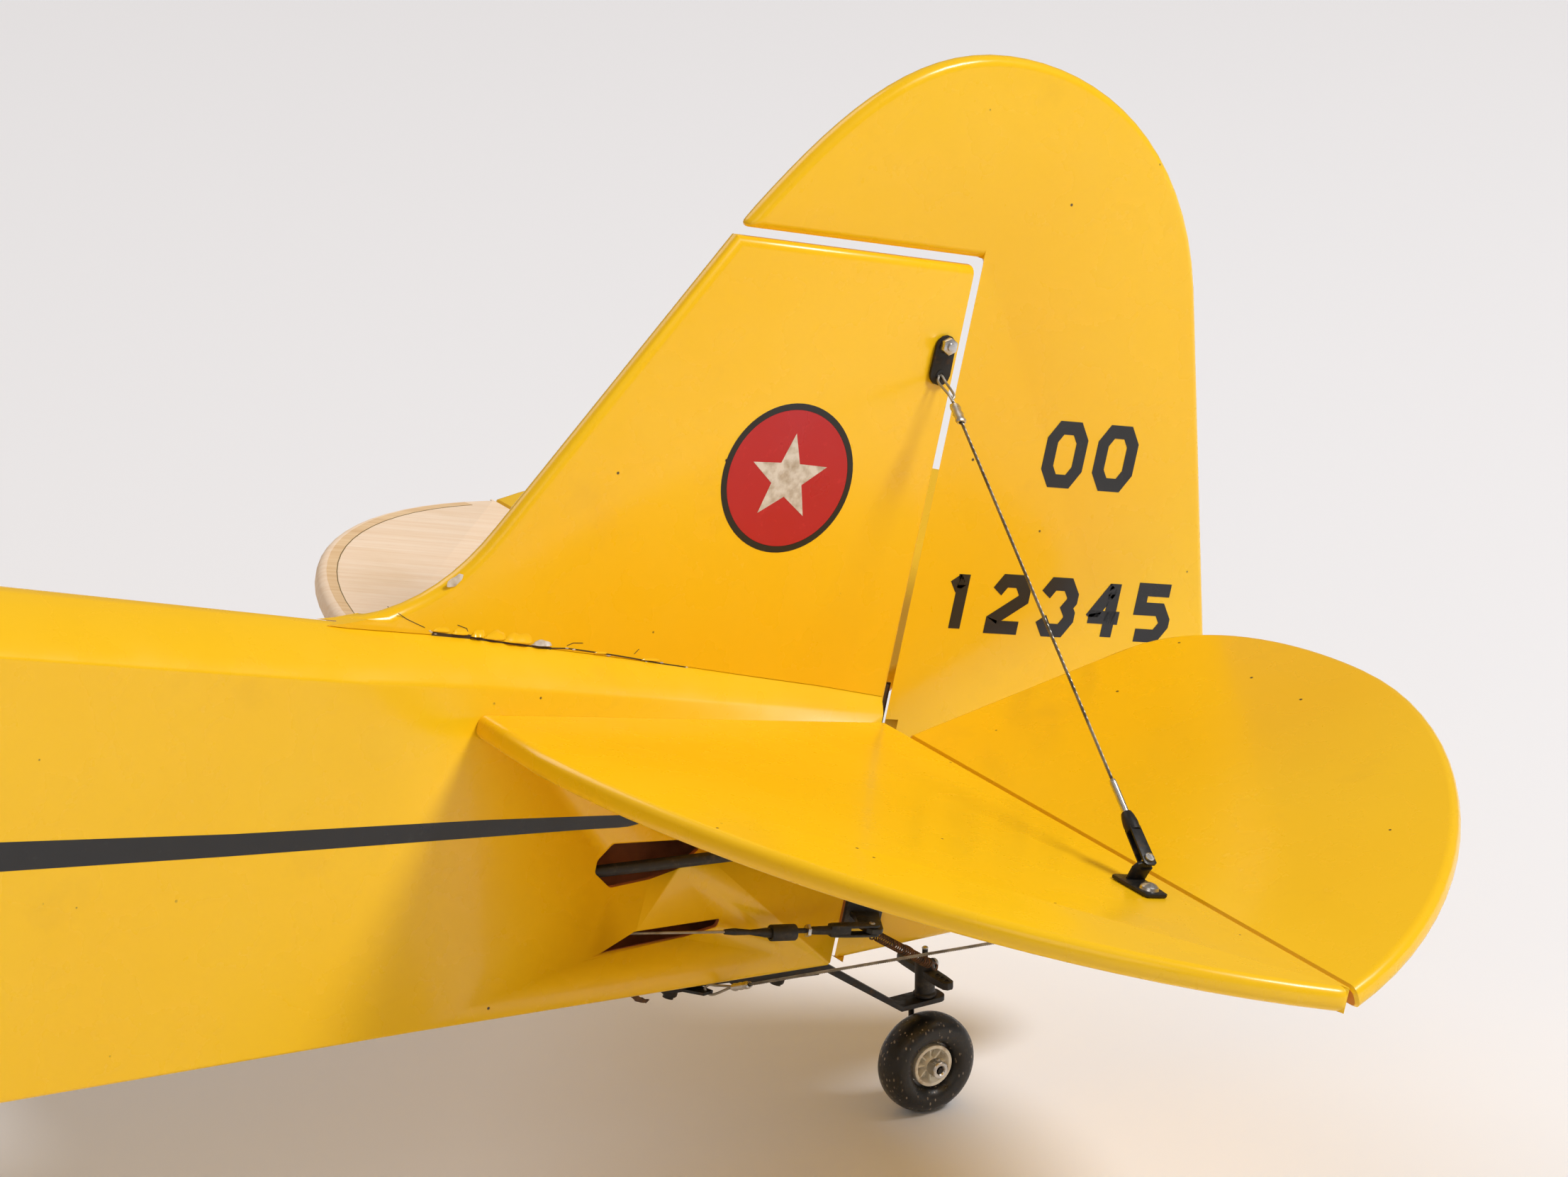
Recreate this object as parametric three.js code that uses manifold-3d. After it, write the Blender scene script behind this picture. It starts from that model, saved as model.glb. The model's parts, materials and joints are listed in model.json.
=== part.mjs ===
// A quarter-scale radio-controlled model of a tandem two-seat high-wing touring aeroplane, standing on its
// three wheels. Each sub-part is one named mesh. Units are millimetres.
// Inside the aeroplane group +X runs aft, +Y to starboard and +Z up, with the rudder and elevator hinge lines
// crossing at x = 0, z = 0. The group is then pitched nose-up until all three tyres touch the ground plane.
import * as THREE from "three";
import { mergeVertices } from "three/addons/utils/BufferGeometryUtils.js";
import Module from "manifold-3d";

const wasm = await Module();
wasm.setup();

// ---- Driving dimensions ----
const groundPitch = THREE.MathUtils.degToRad(13.6);
const elevatorRest = THREE.MathUtils.degToRad(27);
const gap = 0.4; // clearance between parts that touch
const hingeGap = 3.4; // slot between a fixed surface and its control surface
const wall = 2.4; // skin of the fuselage

const wing = { leadingX: -1230, leadingZ: 80, chord: 400, drop: 10, rootY: 83.5, straightY: 1180, tipY: 1341 };
const aileron = { chord: 78, innerY: 610, outerY: 1150 };
const tail = { thickness: 11, finThickness: 10, halfSpan: 369, rootChord: 229 };
const body = { tailX: -3, tailHalfWidth: 9.2, widthPerLength: 0.073, firewallX: -1335, noseX: -1470 };
const thrustZ = -128;
const mainWheel = { x: -1212, y: 230, radius: 57, width: 42, hubRadius: 22 };
const tailWheel = { radius: 24.7, width: 19, hubRadius: 10 };
const steering = new THREE.Vector3(62, 0, -131); // where the tail wheel's post stands on its leaf spring
const tailAxle = new THREE.Vector3(1, 0, -34.6); // from the steering point, square to the ground
const rudderPin = new THREE.Vector3(0.7, 30, -88.5); // starboard clevis pin in the rudder horn
const elevatorArm = { x: 2, y: 41, z: -43 }; // port horn's hole, with the elevator at neutral
const elevatorServo = { y: -58, armLength: 25, armRest: THREE.MathUtils.degToRad(46.7) };
const rudderServo = { y: 0, armLength: 24 };
const servoX = -1012; // both output shafts
const propellerSize = { x: -1493, radius: 228, hubRadius: 19 };

// ---- Materials ----
const finish = (color, roughness, metalness = 0) => new THREE.MeshStandardMaterial({ color, roughness, metalness });
const yellowFilm = finish(0xf6b51c, 0.32);
const bareWood = finish(0xe9c9a0, 0.75);
const blackNylon = finish(0x1c1b1a, 0.5);
const blackSteel = finish(0x2b2a28, 0.4, 0.7);
const brightSteel = finish(0xa8a8a6, 0.3, 1);
const creamNylon = finish(0xe6dcc4, 0.5);
const rubber = finish(0x1a1918, 0.85);
const clearPlastic = finish(0xdfe8ea, 0.1);
const varnishedWood = finish(0x8a5a2c, 0.35);
const tankPlastic = finish(0xe8e4d8, 0.45);

// ---- Solids ----
function toSolid(geometry) {
  const bare = geometry.index ? geometry.toNonIndexed() : geometry.clone();
  for (const name of ["normal", "uv"]) bare.deleteAttribute(name);
  const merged = mergeVertices(bare, 1e-3);
  const mesh = { numProp: 3, vertProperties: merged.attributes.position.array, triVerts: merged.index.array };
  return new wasm.Manifold(new wasm.Mesh({ ...mesh, triVerts: new Uint32Array(mesh.triVerts) }));
}

function toGeometry(solid) {
  const mesh = solid.getMesh();
  const geometry = new THREE.BufferGeometry();
  geometry.setAttribute("position", new THREE.BufferAttribute(new Float32Array(mesh.vertProperties), 3));
  geometry.setIndex([...mesh.triVerts]);
  return geometry;
}

const joined = (...geometries) => toGeometry(geometries.map(toSolid).reduce((a, b) => a.add(b)));
const cut = (geometry, ...tools) => toGeometry(tools.map(toSolid).reduce((a, b) => a.subtract(b), toSolid(geometry)));
const shared = (geometry, tool) => toGeometry(toSolid(geometry).intersect(toSolid(tool)));

// Turns a closed surface the right way out.
function facingOut(geometry) {
  const p = geometry.attributes.position;
  const at = (i) => new THREE.Vector3().fromBufferAttribute(p, i);
  const index = geometry.index.array;
  let volume = 0;
  for (let i = 0; i < index.length; i += 3)
    volume += at(index[i]).dot(at(index[i + 1]).cross(at(index[i + 2])));
  if (volume < 0) for (let i = 0; i < index.length; i += 3) [index[i], index[i + 1]] = [index[i + 1], index[i]];
  return geometry;
}

// Skins rings of equal point count. Point i of a ring faces point count - i, which lets a strip close each end.
function loft(rings) {
  const count = rings[0].length;
  const index = [];
  for (let r = 0; r + 1 < rings.length; r++)
    for (let i = 0; i < count; i++) {
      const [a, b] = [r * count + i, r * count + ((i + 1) % count)];
      index.push(a, b, b + count, a, b + count, a + count);
    }
  for (const [base, flip] of [[0, true], [(rings.length - 1) * count, false]])
    for (let i = 0; i < count / 2; i++) {
      const [a, b, c, d] = [i, i + 1, count - i - 1, (count - i) % count].map((k) => base + k);
      const faces = i === 0 ? [[a, b, c]] : i + 1 === c - base ? [[a, b, d]] : [[a, b, c], [a, c, d]];
      for (const [p, q, s] of faces) index.push(...(flip ? [s, q, p] : [p, q, s]));
    }
  const geometry = new THREE.BufferGeometry();
  const positions = rings.flat().flatMap((p) => [p.x, p.y, p.z]);
  geometry.setAttribute("position", new THREE.Float32BufferAttribute(positions, 3));
  geometry.setIndex(index);
  return facingOut(geometry);
}

const box = (low, high) =>
  new THREE.BoxGeometry(...low.map((v, k) => high[k] - v)).translate(...low.map((v, k) => (v + high[k]) / 2));

// A round bar from one point to another, which may taper.
function bar(from, to, radius, endRadius = radius, sides = 12) {
  const [a, b] = [from, to].map((p) => new THREE.Vector3(...p));
  const turn = new THREE.Quaternion().setFromUnitVectors(new THREE.Vector3(0, 1, 0), b.clone().sub(a).normalize());
  const middle = a.clone().add(b).multiplyScalar(0.5);
  return new THREE.CylinderGeometry(endRadius, radius, a.distanceTo(b), sides).applyQuaternion(turn).translate(...middle);
}

// A round bar that follows a smooth curve through points.
function bentBar(points, radius, steps, sides = 8, tension = 0.5) {
  const path = new THREE.CatmullRomCurve3(points.map((p) => new THREE.Vector3(...p)), false, "catmullrom", tension);
  const section = new THREE.Shape(circlePoints(radius, sides));
  return new THREE.ExtrudeGeometry(section, { extrudePath: path, steps, bevelEnabled: false });
}

function circlePoints(radius, sides) {
  const angle = (k) => (2 * Math.PI * k) / sides;
  return Array.from({ length: sides }, (_, k) =>
    new THREE.Vector2(radius * Math.cos(angle(k)), radius * Math.sin(angle(k))));
}

// A flat plate on the XY plane, centred on z = 0.
const levelPlate = (shape, thickness, smooth = 24) =>
  new THREE.ExtrudeGeometry(shape, { depth: thickness, bevelEnabled: false, curveSegments: smooth })
    .translate(0, 0, -thickness / 2);

// A flat plate on the XZ plane, centred on y = 0. The shape's second coordinate is height.
const uprightPlate = (shape, thickness, smooth = 24) =>
  levelPlate(shape, thickness, smooth).rotateX(Math.PI / 2);

const polygon = (points) => new THREE.Shape(points.map((p) => new THREE.Vector2(...p)));

const mirrored = (geometry) => {
  const copy = geometry.index ? geometry.clone() : mergeVertices(geometry.clone());
  const { array } = copy.index;
  for (let i = 0; i < array.length; i += 3) [array[i], array[i + 1]] = [array[i + 1], array[i]];
  return copy.scale(1, -1, 1);
};

// ---- Assembly ----
const aeroplane = new THREE.Group();

function add(name, geometry, material, parent = aeroplane) {
  const mesh = new THREE.Mesh(geometry, material);
  mesh.name = name;
  parent.add(mesh);
  return mesh;
}

// The same piece on both sides: the given one is to starboard.
function addPair(name, geometry, material, parents = [aeroplane, aeroplane]) {
  add(`${name}_left`, mirrored(geometry), material, parents[0]);
  add(`${name}_right`, geometry, material, parents[1]);
}

// ---- Fuselage ----
const halfWidthAt = (x) => Math.min(82.5, body.tailHalfWidth + body.widthPerLength * (body.tailX - x));

// Upper and lower surface heights of the wing section at a share of the chord, as parts of the chord.
function sectionAt(share) {
  const [camber, peak, thickness] = [0.035, 0.4, 0.118];
  const roots = 0.2969 * Math.sqrt(share) - 0.126 * share;
  const half = 5 * thickness * (roots - 0.3516 * share ** 2 + 0.2843 * share ** 3 - 0.1036 * share ** 4);
  const ahead = (camber / peak ** 2) * (2 * peak * share - share ** 2);
  const behind = (camber / (1 - peak) ** 2) * (1 - 2 * peak + 2 * peak * share - share ** 2);
  const line = share < peak ? ahead : behind;
  return { upper: line + half, lower: line - half };
}

const wingBottomAt = (x) => {
  const share = (x - wing.leadingX) / wing.chord;
  return wing.leadingZ - wing.drop * share + wing.chord * sectionAt(share).lower;
};
const wingTopAt = (share) => wing.leadingZ - wing.drop * share + wing.chord * sectionAt(share).upper;

// Stations of the fuselage: height of the flat bottom, of the side's top edge, and of the crown over it.
const rearStations = [
  { x: body.tailX, bottom: -114, side: 9, crown: 21 },
  { x: -230, bottom: -143, side: 17, crown: 36 },
  { x: -290, bottom: -151, side: 18.5, crown: 37 },
  { x: -640, bottom: -199, side: 33, crown: 52.5 },
];
const cabinStations = [0.97, 0.8, 0.6, 0.4, 0.2, 0.08, 0.02].map((share) => ({
  x: wing.leadingX + wing.chord * share,
  bottom: -228,
  side: wingTopAt(share) - 6,
  crown: wingTopAt(share),
}));
cabinStations[0].bottom = -222;
const noseStations = [
  { x: -1302, bottom: -226, side: -74, crown: -62 },
  { x: body.firewallX, bottom: -220, side: -84, crown: -70, halfWidth: 76 },
];
const fuselageStations = [...rearStations, ...cabinStations, ...noseStations];

// Underside of the tail at a station.
const [sternStation, rootStation] = rearStations;
const bottomAt = (x) => sternStation.bottom
  + (rootStation.bottom - sternStation.bottom) * (x - sternStation.x) / (rootStation.x - sternStation.x);

// A ring that starts at the middle of the bottom, climbs the starboard side and comes down the port side.
function fuselageRing({ x, bottom, side, crown, halfWidth = halfWidthAt(x) }, inset = 0) {
  const [w, low, edge, top] = [halfWidth - inset, bottom + inset, side - inset / 2, crown - inset];
  const half = [[0.5 * w, low], [w, low]];
  // The deck runs nearly straight from each longeron to a rounded ridge.
  const arc = 6;
  const flatness = 1.55;
  for (let k = 0; k < arc; k++) {
    const a = (k / arc) * (Math.PI / 2);
    half.push([w * Math.cos(a) ** flatness, edge + (top - edge) * Math.sin(a) ** flatness]);
  }
  const other = half.map(([y, z]) => [-y, z]).reverse();
  return [[0, low], ...half, [0, top], ...other].map(([y, z]) => new THREE.Vector3(x, y, z));
}

const fuselageOuter = loft(fuselageStations.map((s) => fuselageRing(s)));

function fuselageInner() {
  const stations = fuselageStations.map((s) => ({ ...s }));
  stations[0].x -= 8;
  stations.at(-1).x += 4;
  return loft(stations.map((s) => fuselageRing(s, wall)));
}

const fuselageShell = cut(fuselageOuter, fuselageInner());

// Cabin glazing, each pane the same skin as the shell, in an opening a little larger than itself.
const paneOutline = [[-1212, -60], [-1186, 62], [-930, 70], [-886, 40], [-940, -58]];
const paneAt = (side, grow) => {
  const centre = [-1040, 5];
  const grown = paneOutline.map((p) => p.map((v, k) => v + Math.sign(v - centre[k]) * grow));
  return uprightPlate(polygon(grown), 60).translate(0, side * 90, 0);
};
const windshieldZone = (grow) => {
  const outline = [[-1233, 66 + grow], [-1290, -56 - grow], [-1330, -56 - grow], [-1330, 66 + grow]];
  return uprightPlate(polygon(outline.map(([x, z]) => [x + (x > -1300 ? grow : 0), z])), 150 + 2 * grow);
};

// Slots in the tail sides where the control runs come out.
const elevatorSlot = polygon([[-149, -62], [-149, -68], [-139, -75], [-118, -71], [-103, -66], [-93, -56], [-106, -52],
  [-142, -54]]);
const rudderSlot = polygon([[-138, -107], [-92, -99], [-74, -94], [-73, -90], [-120, -96]]);
const joinerNotch = box([-12, -20, -4], [0, 20, 4]);

add("fuselage", cut(
  fuselageShell,
  windshieldZone(gap),
  paneAt(-1, gap),
  paneAt(1, gap),
  uprightPlate(elevatorSlot, 30).translate(0, -25, 0),
  uprightPlate(rudderSlot, 80),
  joinerNotch,
), yellowFilm);
add("windshield", shared(fuselageShell, windshieldZone(0)), clearPlastic);
add("cabin_window_left", shared(fuselageShell, paneAt(-1, 0)), clearPlastic);
add("cabin_window_right", shared(fuselageShell, paneAt(1, 0)), clearPlastic);

// ---- Cabin contents ----
add("instrument_panel", box([-1290, -74, -118], [-1286, 74, -72]), blackNylon);
add("fuel_tank", box([-1270, -42, -205], [-1150, 42, -140]), tankPlastic);
const servoCase = (y) => joined(
  box([servoX - 27, y - 10, -212], [servoX + 13, y + 10, -172]),
  box([servoX - 35, y - 10, -180.5], [servoX + 21, y + 10, -176]),
  bar([servoX, y, -173], [servoX, y, -166], 4),
);
add("radio_tray", joined(
  cut(box([-1090, -72, -186], [-950, 72, -180]),
    box([servoX - 28, elevatorServo.y - 11, -190], [servoX + 14, elevatorServo.y + 11, -170]),
    box([servoX - 28, -11, -190], [servoX + 14, 11, -170])),
  servoCase(elevatorServo.y),
  servoCase(rudderServo.y),
), bareWood);

// Servo arms turn about their own shafts.
const elevatorArmGroup = new THREE.Group();
elevatorArmGroup.position.set(servoX, elevatorServo.y, -165.6);
elevatorArmGroup.rotation.z = -elevatorServo.armRest;
aeroplane.add(elevatorArmGroup);
add("elevator_servo_arm", joined(
  bar([0, 0, 0], [0, 0, 5], 5.5, 5.5, 14),
  box([-3.2, 0, 0.6], [3.2, elevatorServo.armLength + 3, 3.2]),
), creamNylon, elevatorArmGroup);
const rudderArmGroup = new THREE.Group();
rudderArmGroup.position.set(servoX, rudderServo.y, -165.6);
aeroplane.add(rudderArmGroup);
add("rudder_servo_arm", joined(
  bar([0, 0, 0], [0, 0, 5], 5.5, 5.5, 14),
  box([-3.2, -rudderServo.armLength - 3, 0.6], [3.2, rudderServo.armLength + 3, 3.2]),
), creamNylon, rudderArmGroup);

// ---- Nose ----
const cowlStations = [
  { x: body.firewallX - 0.5, bottom: -220, side: -84, crown: -70, halfWidth: 76 },
  { x: -1400, bottom: -211, side: -92, crown: -76, halfWidth: 68 },
  { x: -1446, bottom: -196, side: -104, crown: -86, halfWidth: 56 },
  { x: body.noseX, bottom: -176, side: -118, crown: -98, halfWidth: 40 },
];
const innerCowl = cowlStations.map((s) => ({ ...s }));
innerCowl[0].x += 2;
innerCowl.at(-1).x += 4;
add("engine_cowl", cut(
  loft(cowlStations.map((s) => fuselageRing(s))),
  loft(innerCowl.map((s) => fuselageRing(s, 2.5))),
  box([-1440, -90, -150], [-1352, 90, -106]),
  bar([-1500, 0, thrustZ], [-1440, 0, thrustZ], 14),
  bar([-1500, 25, -142], [-1440, 25, -142], 9),
  bar([-1500, -25, -142], [-1440, -25, -142], 9),
), yellowFilm);

add("engine_crankcase", joined(
  box([-1440, -24, -156], [-1338, 24, -100]),
  bar([-1440, 0, thrustZ], [-1481, 0, thrustZ], 9),
), brightSteel);

// Two finned cylinders under one sheet-metal baffle.
function cylinderBank() {
  const cylinder = (x) => {
    const profile = [[0, 24.5]];
    for (let k = 0; k < 5; k++) {
      const y = 28 + k * 12;
      profile.push([13, y], [18, y], [18, y + 5], [13, y + 5]);
    }
    profile.push([11, 88], [11, 100], [0, 100]);
    const points = profile.map(([r, y]) => new THREE.Vector2(r, y));
    return new THREE.LatheGeometry(points, 10).translate(x, 0, thrustZ);
  };
  const baffle = box([-1438, 40, -112], [-1354, 92, -109]);
  return joined(cylinder(-1419), cylinder(-1374), baffle);
}
addPair("cylinder_bank", cylinderBank(), blackSteel);

// ---- Wing ----
const wingShares = Array.from({ length: 11 }, (_, k) => (1 - Math.cos((Math.PI * k) / 11)) / 2).slice(1);

function wingRing(y, share = 1) {
  const chord = wing.chord * share;
  const leading = wing.leadingX + (wing.chord - chord) * 0.42;
  const at = (s, side) => new THREE.Vector3(
    leading + chord * s,
    y,
    wing.leadingZ - wing.drop * ((leading - wing.leadingX) / wing.chord + s * share) + chord * sectionAt(s)[side],
  );
  const upper = [...wingShares].reverse().map((s) => at(s, "upper"));
  const lower = wingShares.map((s) => at(s, "lower"));
  return [at(1, "upper"), ...upper, at(0, "upper"), ...lower];
}

function wingPanel() {
  const rings = [wingRing(wing.rootY), wingRing(wing.straightY)];
  const steps = 6;
  for (let k = 1; k <= steps; k++) {
    const a = (k / steps) * 1.48;
    rings.push(wingRing(wing.straightY + (wing.tipY - wing.straightY) * Math.sin(a), Math.cos(a) ** 0.7));
  }
  return loft(rings);
}
const aileronX = wing.leadingX + wing.chord - aileron.chord;
const aileronShare = 1 - aileron.chord / wing.chord;
const aileronZ = (wingTopAt(aileronShare) + wingBottomAt(aileronX)) / 2;
// The aileron's nose is a blunt wedge, so that it can turn inside its square-cut bay.
const aileronBay = box([aileronX - hingeGap / 2, aileron.innerY - 1.5, 0], [aileronX + 200, aileron.outerY + 1.5, 160]);
const aileronBlank = uprightPlate(polygon([
  [aileronX + hingeGap / 2, aileronZ - 2], [aileronX + 8, aileronZ - 20], [aileronX + 200, aileronZ - 20],
  [aileronX + 200, aileronZ + 20], [aileronX + 8, aileronZ + 20], [aileronX + hingeGap / 2, aileronZ + 2],
]), aileron.outerY - aileron.innerY).translate(0, (aileron.outerY + aileron.innerY) / 2, 0);
addPair("wing", cut(wingPanel(), aileronBay), yellowFilm);
addPair("aileron", shared(wingPanel(), aileronBlank), yellowFilm);

// V struts from the foot of the cabin to the wing's two spars, with the jury struts that steady them.
function wingStrut() {
  const foot = [-1205, 90, -222];
  const [front, rear] = [-1168, -1010].map((x) => [x, 720, wingBottomAt(x) - 9]);
  const along = (to, t) => foot.map((v, k) => v + (to[k] - v) * t);
  const under = (p) => [p[0], p[1], wingBottomAt(p[0]) - 1];
  const lug = (p) => box([p[0] - 9, p[1] - 16, p[2] - 1], [p[0] + 9, p[1] + 6, p[2] + 7.6]);
  return joined(
    bar(foot, front, 7, 7, 10),
    bar(foot, rear, 6, 6, 10),
    lug(front),
    lug(rear),
    bar(under(along(front, 0.56)), along(front, 0.56), 2.5, 2.5, 6),
    bar(under(along(rear, 0.56)), along(rear, 0.56), 2.5, 2.5, 6),
    bar(along(front, 0.56), along(rear, 0.56), 2.5, 2.5, 6),
  );
}
addPair("wing_strut", wingStrut(), yellowFilm);

// ---- Main landing gear ----
const tailContact = tailWheel.radius - tailAxle.z; // below the steering point, square to the ground
const up = new THREE.Vector3(-Math.sin(groundPitch), 0, Math.cos(groundPitch));
const groundLevel = steering.dot(up) - tailContact;
const heightAt = (x, aboveGround) => (groundLevel + aboveGround + x * Math.sin(groundPitch)) / Math.cos(groundPitch);
const axleZ = heightAt(mainWheel.x, mainWheel.radius);

function gearLeg() {
  const axle = [mainWheel.x, mainWheel.y - 30, axleZ];
  const [front, rear] = [[-1262, 74, -234], [-1135, 74, -236]];
  const middle = new THREE.Vector3();
  [axle, front, rear].forEach((p) => middle.add(new THREE.Vector3(...p).divideScalar(3)));
  const skin = [axle, front, rear].map((p) => new THREE.Vector3(...p));
  const side = skin[1].clone().sub(skin[0]).cross(skin[2].clone().sub(skin[0])).normalize().multiplyScalar(1.5);
  const rings = [1, -1].map((s) => skin.map((p) => p.clone().addScaledVector(side, s)));
  const panel = new THREE.BufferGeometry();
  panel.setAttribute("position", new THREE.Float32BufferAttribute(rings.flat().flatMap((p) => [...p]), 3));
  panel.setIndex([0, 1, 2, 3, 5, 4, 0, 3, 4, 0, 4, 1, 1, 4, 5, 1, 5, 2, 2, 5, 3, 2, 3, 0]);
  return joined(
    facingOut(panel),
    bar(axle, front, 5),
    bar(axle, rear, 5),
    bar([mainWheel.x, mainWheel.y - 38, axleZ], [mainWheel.x, mainWheel.y + 26, axleZ], 4),
  );
}
addPair("gear_leg", gearLeg(), yellowFilm);

const cabaneApex = [-1212, 0, -322];
add("gear_cabane", joined(
  bar([-1262, 46, -233], cabaneApex, 4),
  bar([-1262, -46, -233], cabaneApex, 4),
  bar([-1135, 46, -235], cabaneApex, 4),
  bar([-1135, -46, -235], cabaneApex, 4),
  new THREE.SphereGeometry(7, 12, 8).translate(...cabaneApex),
), blackSteel);
const shockFoot = [mainWheel.x, mainWheel.y - 48, axleZ + 12];
addPair("shock_strut", joined(
  bar([-1212, 12, -327], shockFoot, 4),
  bar([-1212, 60, -355], [-1212, 130, -384], 12, 12),
), blackSteel);

// Tyre and hub turn about Y. The profile pairs are radius and offset along the axle.
function lathed(profile, segments) {
  const points = profile.map(([r, y]) => new THREE.Vector2(r, y));
  return new THREE.LatheGeometry(points, segments);
}

function tyre({ radius, width, hubRadius }, segments) {
  const half = width / 2;
  const points = [];
  const steps = 8;
  const depth = (radius - hubRadius) / 2;
  for (let k = 0; k <= steps; k++) {
    const a = -Math.PI * 0.72 + (k / steps) * Math.PI * 1.44;
    points.push([hubRadius + depth + depth * Math.cos(a), half * Math.sin(a)]);
  }
  points.push([...points[0]]);
  return lathed(points, segments);
}

function hub({ radius, width, hubRadius }, bore, segments) {
  const seat = hubRadius + (radius - hubRadius) * 0.5 * (1 + Math.cos(Math.PI * 0.72)) - gap;
  const half = width * 0.37;
  const profile = [[bore, -half * 0.9], [bore * 1.9, -half * 0.9], [bore * 1.9, -2], [seat * 0.8, -2], [seat * 0.86, -half],
    [seat, -half], [seat, half], [seat * 0.86, half], [seat * 0.8, 2], [bore * 1.9, 2], [bore * 1.9, half * 0.9],
    [bore, half * 0.9], [bore, -half * 0.9]];
  return lathed(profile, segments);
}

function mainWheelAt(side) {
  const group = new THREE.Group();
  group.position.set(mainWheel.x, side * mainWheel.y, axleZ);
  aeroplane.add(group);
  return group;
}
const mainWheels = [mainWheelAt(-1), mainWheelAt(1)];
addPair("main_tyre", tyre(mainWheel, 26), rubber, mainWheels);
addPair("main_hub", hub(mainWheel, 4 + gap, 18), creamNylon, mainWheels);

// ---- Propeller ----
function propeller() {
  const { radius, hubRadius } = propellerSize;
  const stations = 9;
  const blade = (side) => {
    const rings = [];
    for (let k = 0; k <= stations; k++) {
      const t = k / stations;
      const chord = 24 + 22 * Math.sin(Math.PI * Math.min(1, t * 0.95)) - 14 * t ** 3;
      const thick = 18 * (1 - t) ** 1.3 + 3;
      const twist = 0.9 * (1 - t) + 0.22;
      const ring = Array.from({ length: 10 }, (_, i) => {
        const a = (2 * Math.PI * i) / 10;
        const [u, v] = [(chord / 2) * Math.cos(a), (thick / 2) * Math.sin(a)];
        const across = u * Math.cos(twist) - v * Math.sin(twist);
        const along = u * Math.sin(twist) + v * Math.cos(twist);
        return new THREE.Vector3(along * 0.8, side * across, side * (6 + (radius - 6) * t));
      });
      rings.push(ring);
    }
    return loft(rings);
  };
  const hubBlock = bar([11, 0, 0], [-11, 0, 0], hubRadius, hubRadius, 20);
  const nut = bar([-11, 0, 0], [-21, 0, 0], 8, 6, 6);
  return joined(blade(1), blade(-1), hubBlock, nut);
}
const propellerGroup = new THREE.Group();
propellerGroup.position.set(propellerSize.x, 0, thrustZ);
aeroplane.add(propellerGroup);
add("propeller", propeller(), varnishedWood, propellerGroup);

// ---- Tail surfaces ----
function finShape() {
  const shape = new THREE.Shape();
  shape.moveTo(-hingeGap / 2, 12);
  shape.lineTo(-hingeGap / 2, 222);
  shape.lineTo(-131, 225);
  shape.lineTo(-222, 84);
  shape.bezierCurveTo(-240, 56, -262, 41, -304, 36);
  shape.lineTo(-304, 12);
  return shape;
}
add("fin", cut(uprightPlate(finShape(), tail.finThickness, 10), fuselageOuter.clone().translate(0, 0, gap)), yellowFilm);

function rudderShape() {
  const shape = new THREE.Shape();
  shape.moveTo(hingeGap / 2, 226);
  shape.lineTo(hingeGap / 2, -108);
  shape.quadraticCurveTo(hingeGap / 2, -113, 7, -112);
  shape.lineTo(140, -83);
  shape.bezierCurveTo(190, -72, 200, -26, 191, 10);
  shape.lineTo(126, 222);
  shape.bezierCurveTo(104, 290, 48, 319, -4, 319);
  shape.bezierCurveTo(-58, 319, -92, 280, -129, 229);
  return shape;
}
const rudderHornSlot = box([3, -10, rudderPin.z - 2], [22, 10, rudderPin.z + 2]);
// The hinge edge is bevelled from the port face back to the starboard face, except behind the horn.
const hingeBevel = (low, high) => {
  const wedge = polygon([[-hingeGap / 2, -6], [hingeGap / 2, -5.1], [hingeGap / 2 + 7.4, 5.1], [-hingeGap / 2, 6]]);
  return new THREE.ExtrudeGeometry(wedge, { depth: high - low, bevelEnabled: false }).translate(0, 0, low);
};
add("rudder", cut(uprightPlate(rudderShape(), tail.finThickness, 16),
  hingeBevel(-63, 226), hingeBevel(-114, -97), box([0, -10, -6], [9, 10, 6]), rudderHornSlot), yellowFilm);

// The horn's arms pass through a slot in the rudder, and a base plate backs each on its face.
function rudderHorn() {
  const { y, z } = rudderPin;
  const face = tail.finThickness / 2 + gap;
  const arm = polygon([[4, -1], [16, -1], [21, face], [5.5, y + 4], [-2.5, y + 4], [-3, y - 6], [4, face]]);
  const half = joined(
    levelPlate(arm, 2.6).translate(0, 0, z),
    box([0.8, face, z - 7], [22, face + 2.4, z + 24]),
  );
  return joined(half, mirrored(half));
}
add("rudder_horn", rudderHorn(), blackNylon);

// Half tailplane to starboard, from the fuselage side out.
function stabiliserShape() {
  const side = (x) => halfWidthAt(x) + gap;
  const shape = new THREE.Shape();
  shape.moveTo(-hingeGap / 2, side(0));
  shape.lineTo(-hingeGap / 2, 366);
  shape.quadraticCurveTo(-hingeGap / 2, tail.halfSpan, -8, 367);
  shape.bezierCurveTo(-124, 334, -214, 206, -tail.rootChord, 78);
  shape.lineTo(-tail.rootChord, side(-tail.rootChord));
  return shape;
}
const stabiliser = levelPlate(stabiliserShape(), tail.thickness, 20);
add("stabiliser_left", mirrored(stabiliser), yellowFilm);
add("stabiliser_right", stabiliser.clone(), bareWood);

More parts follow.
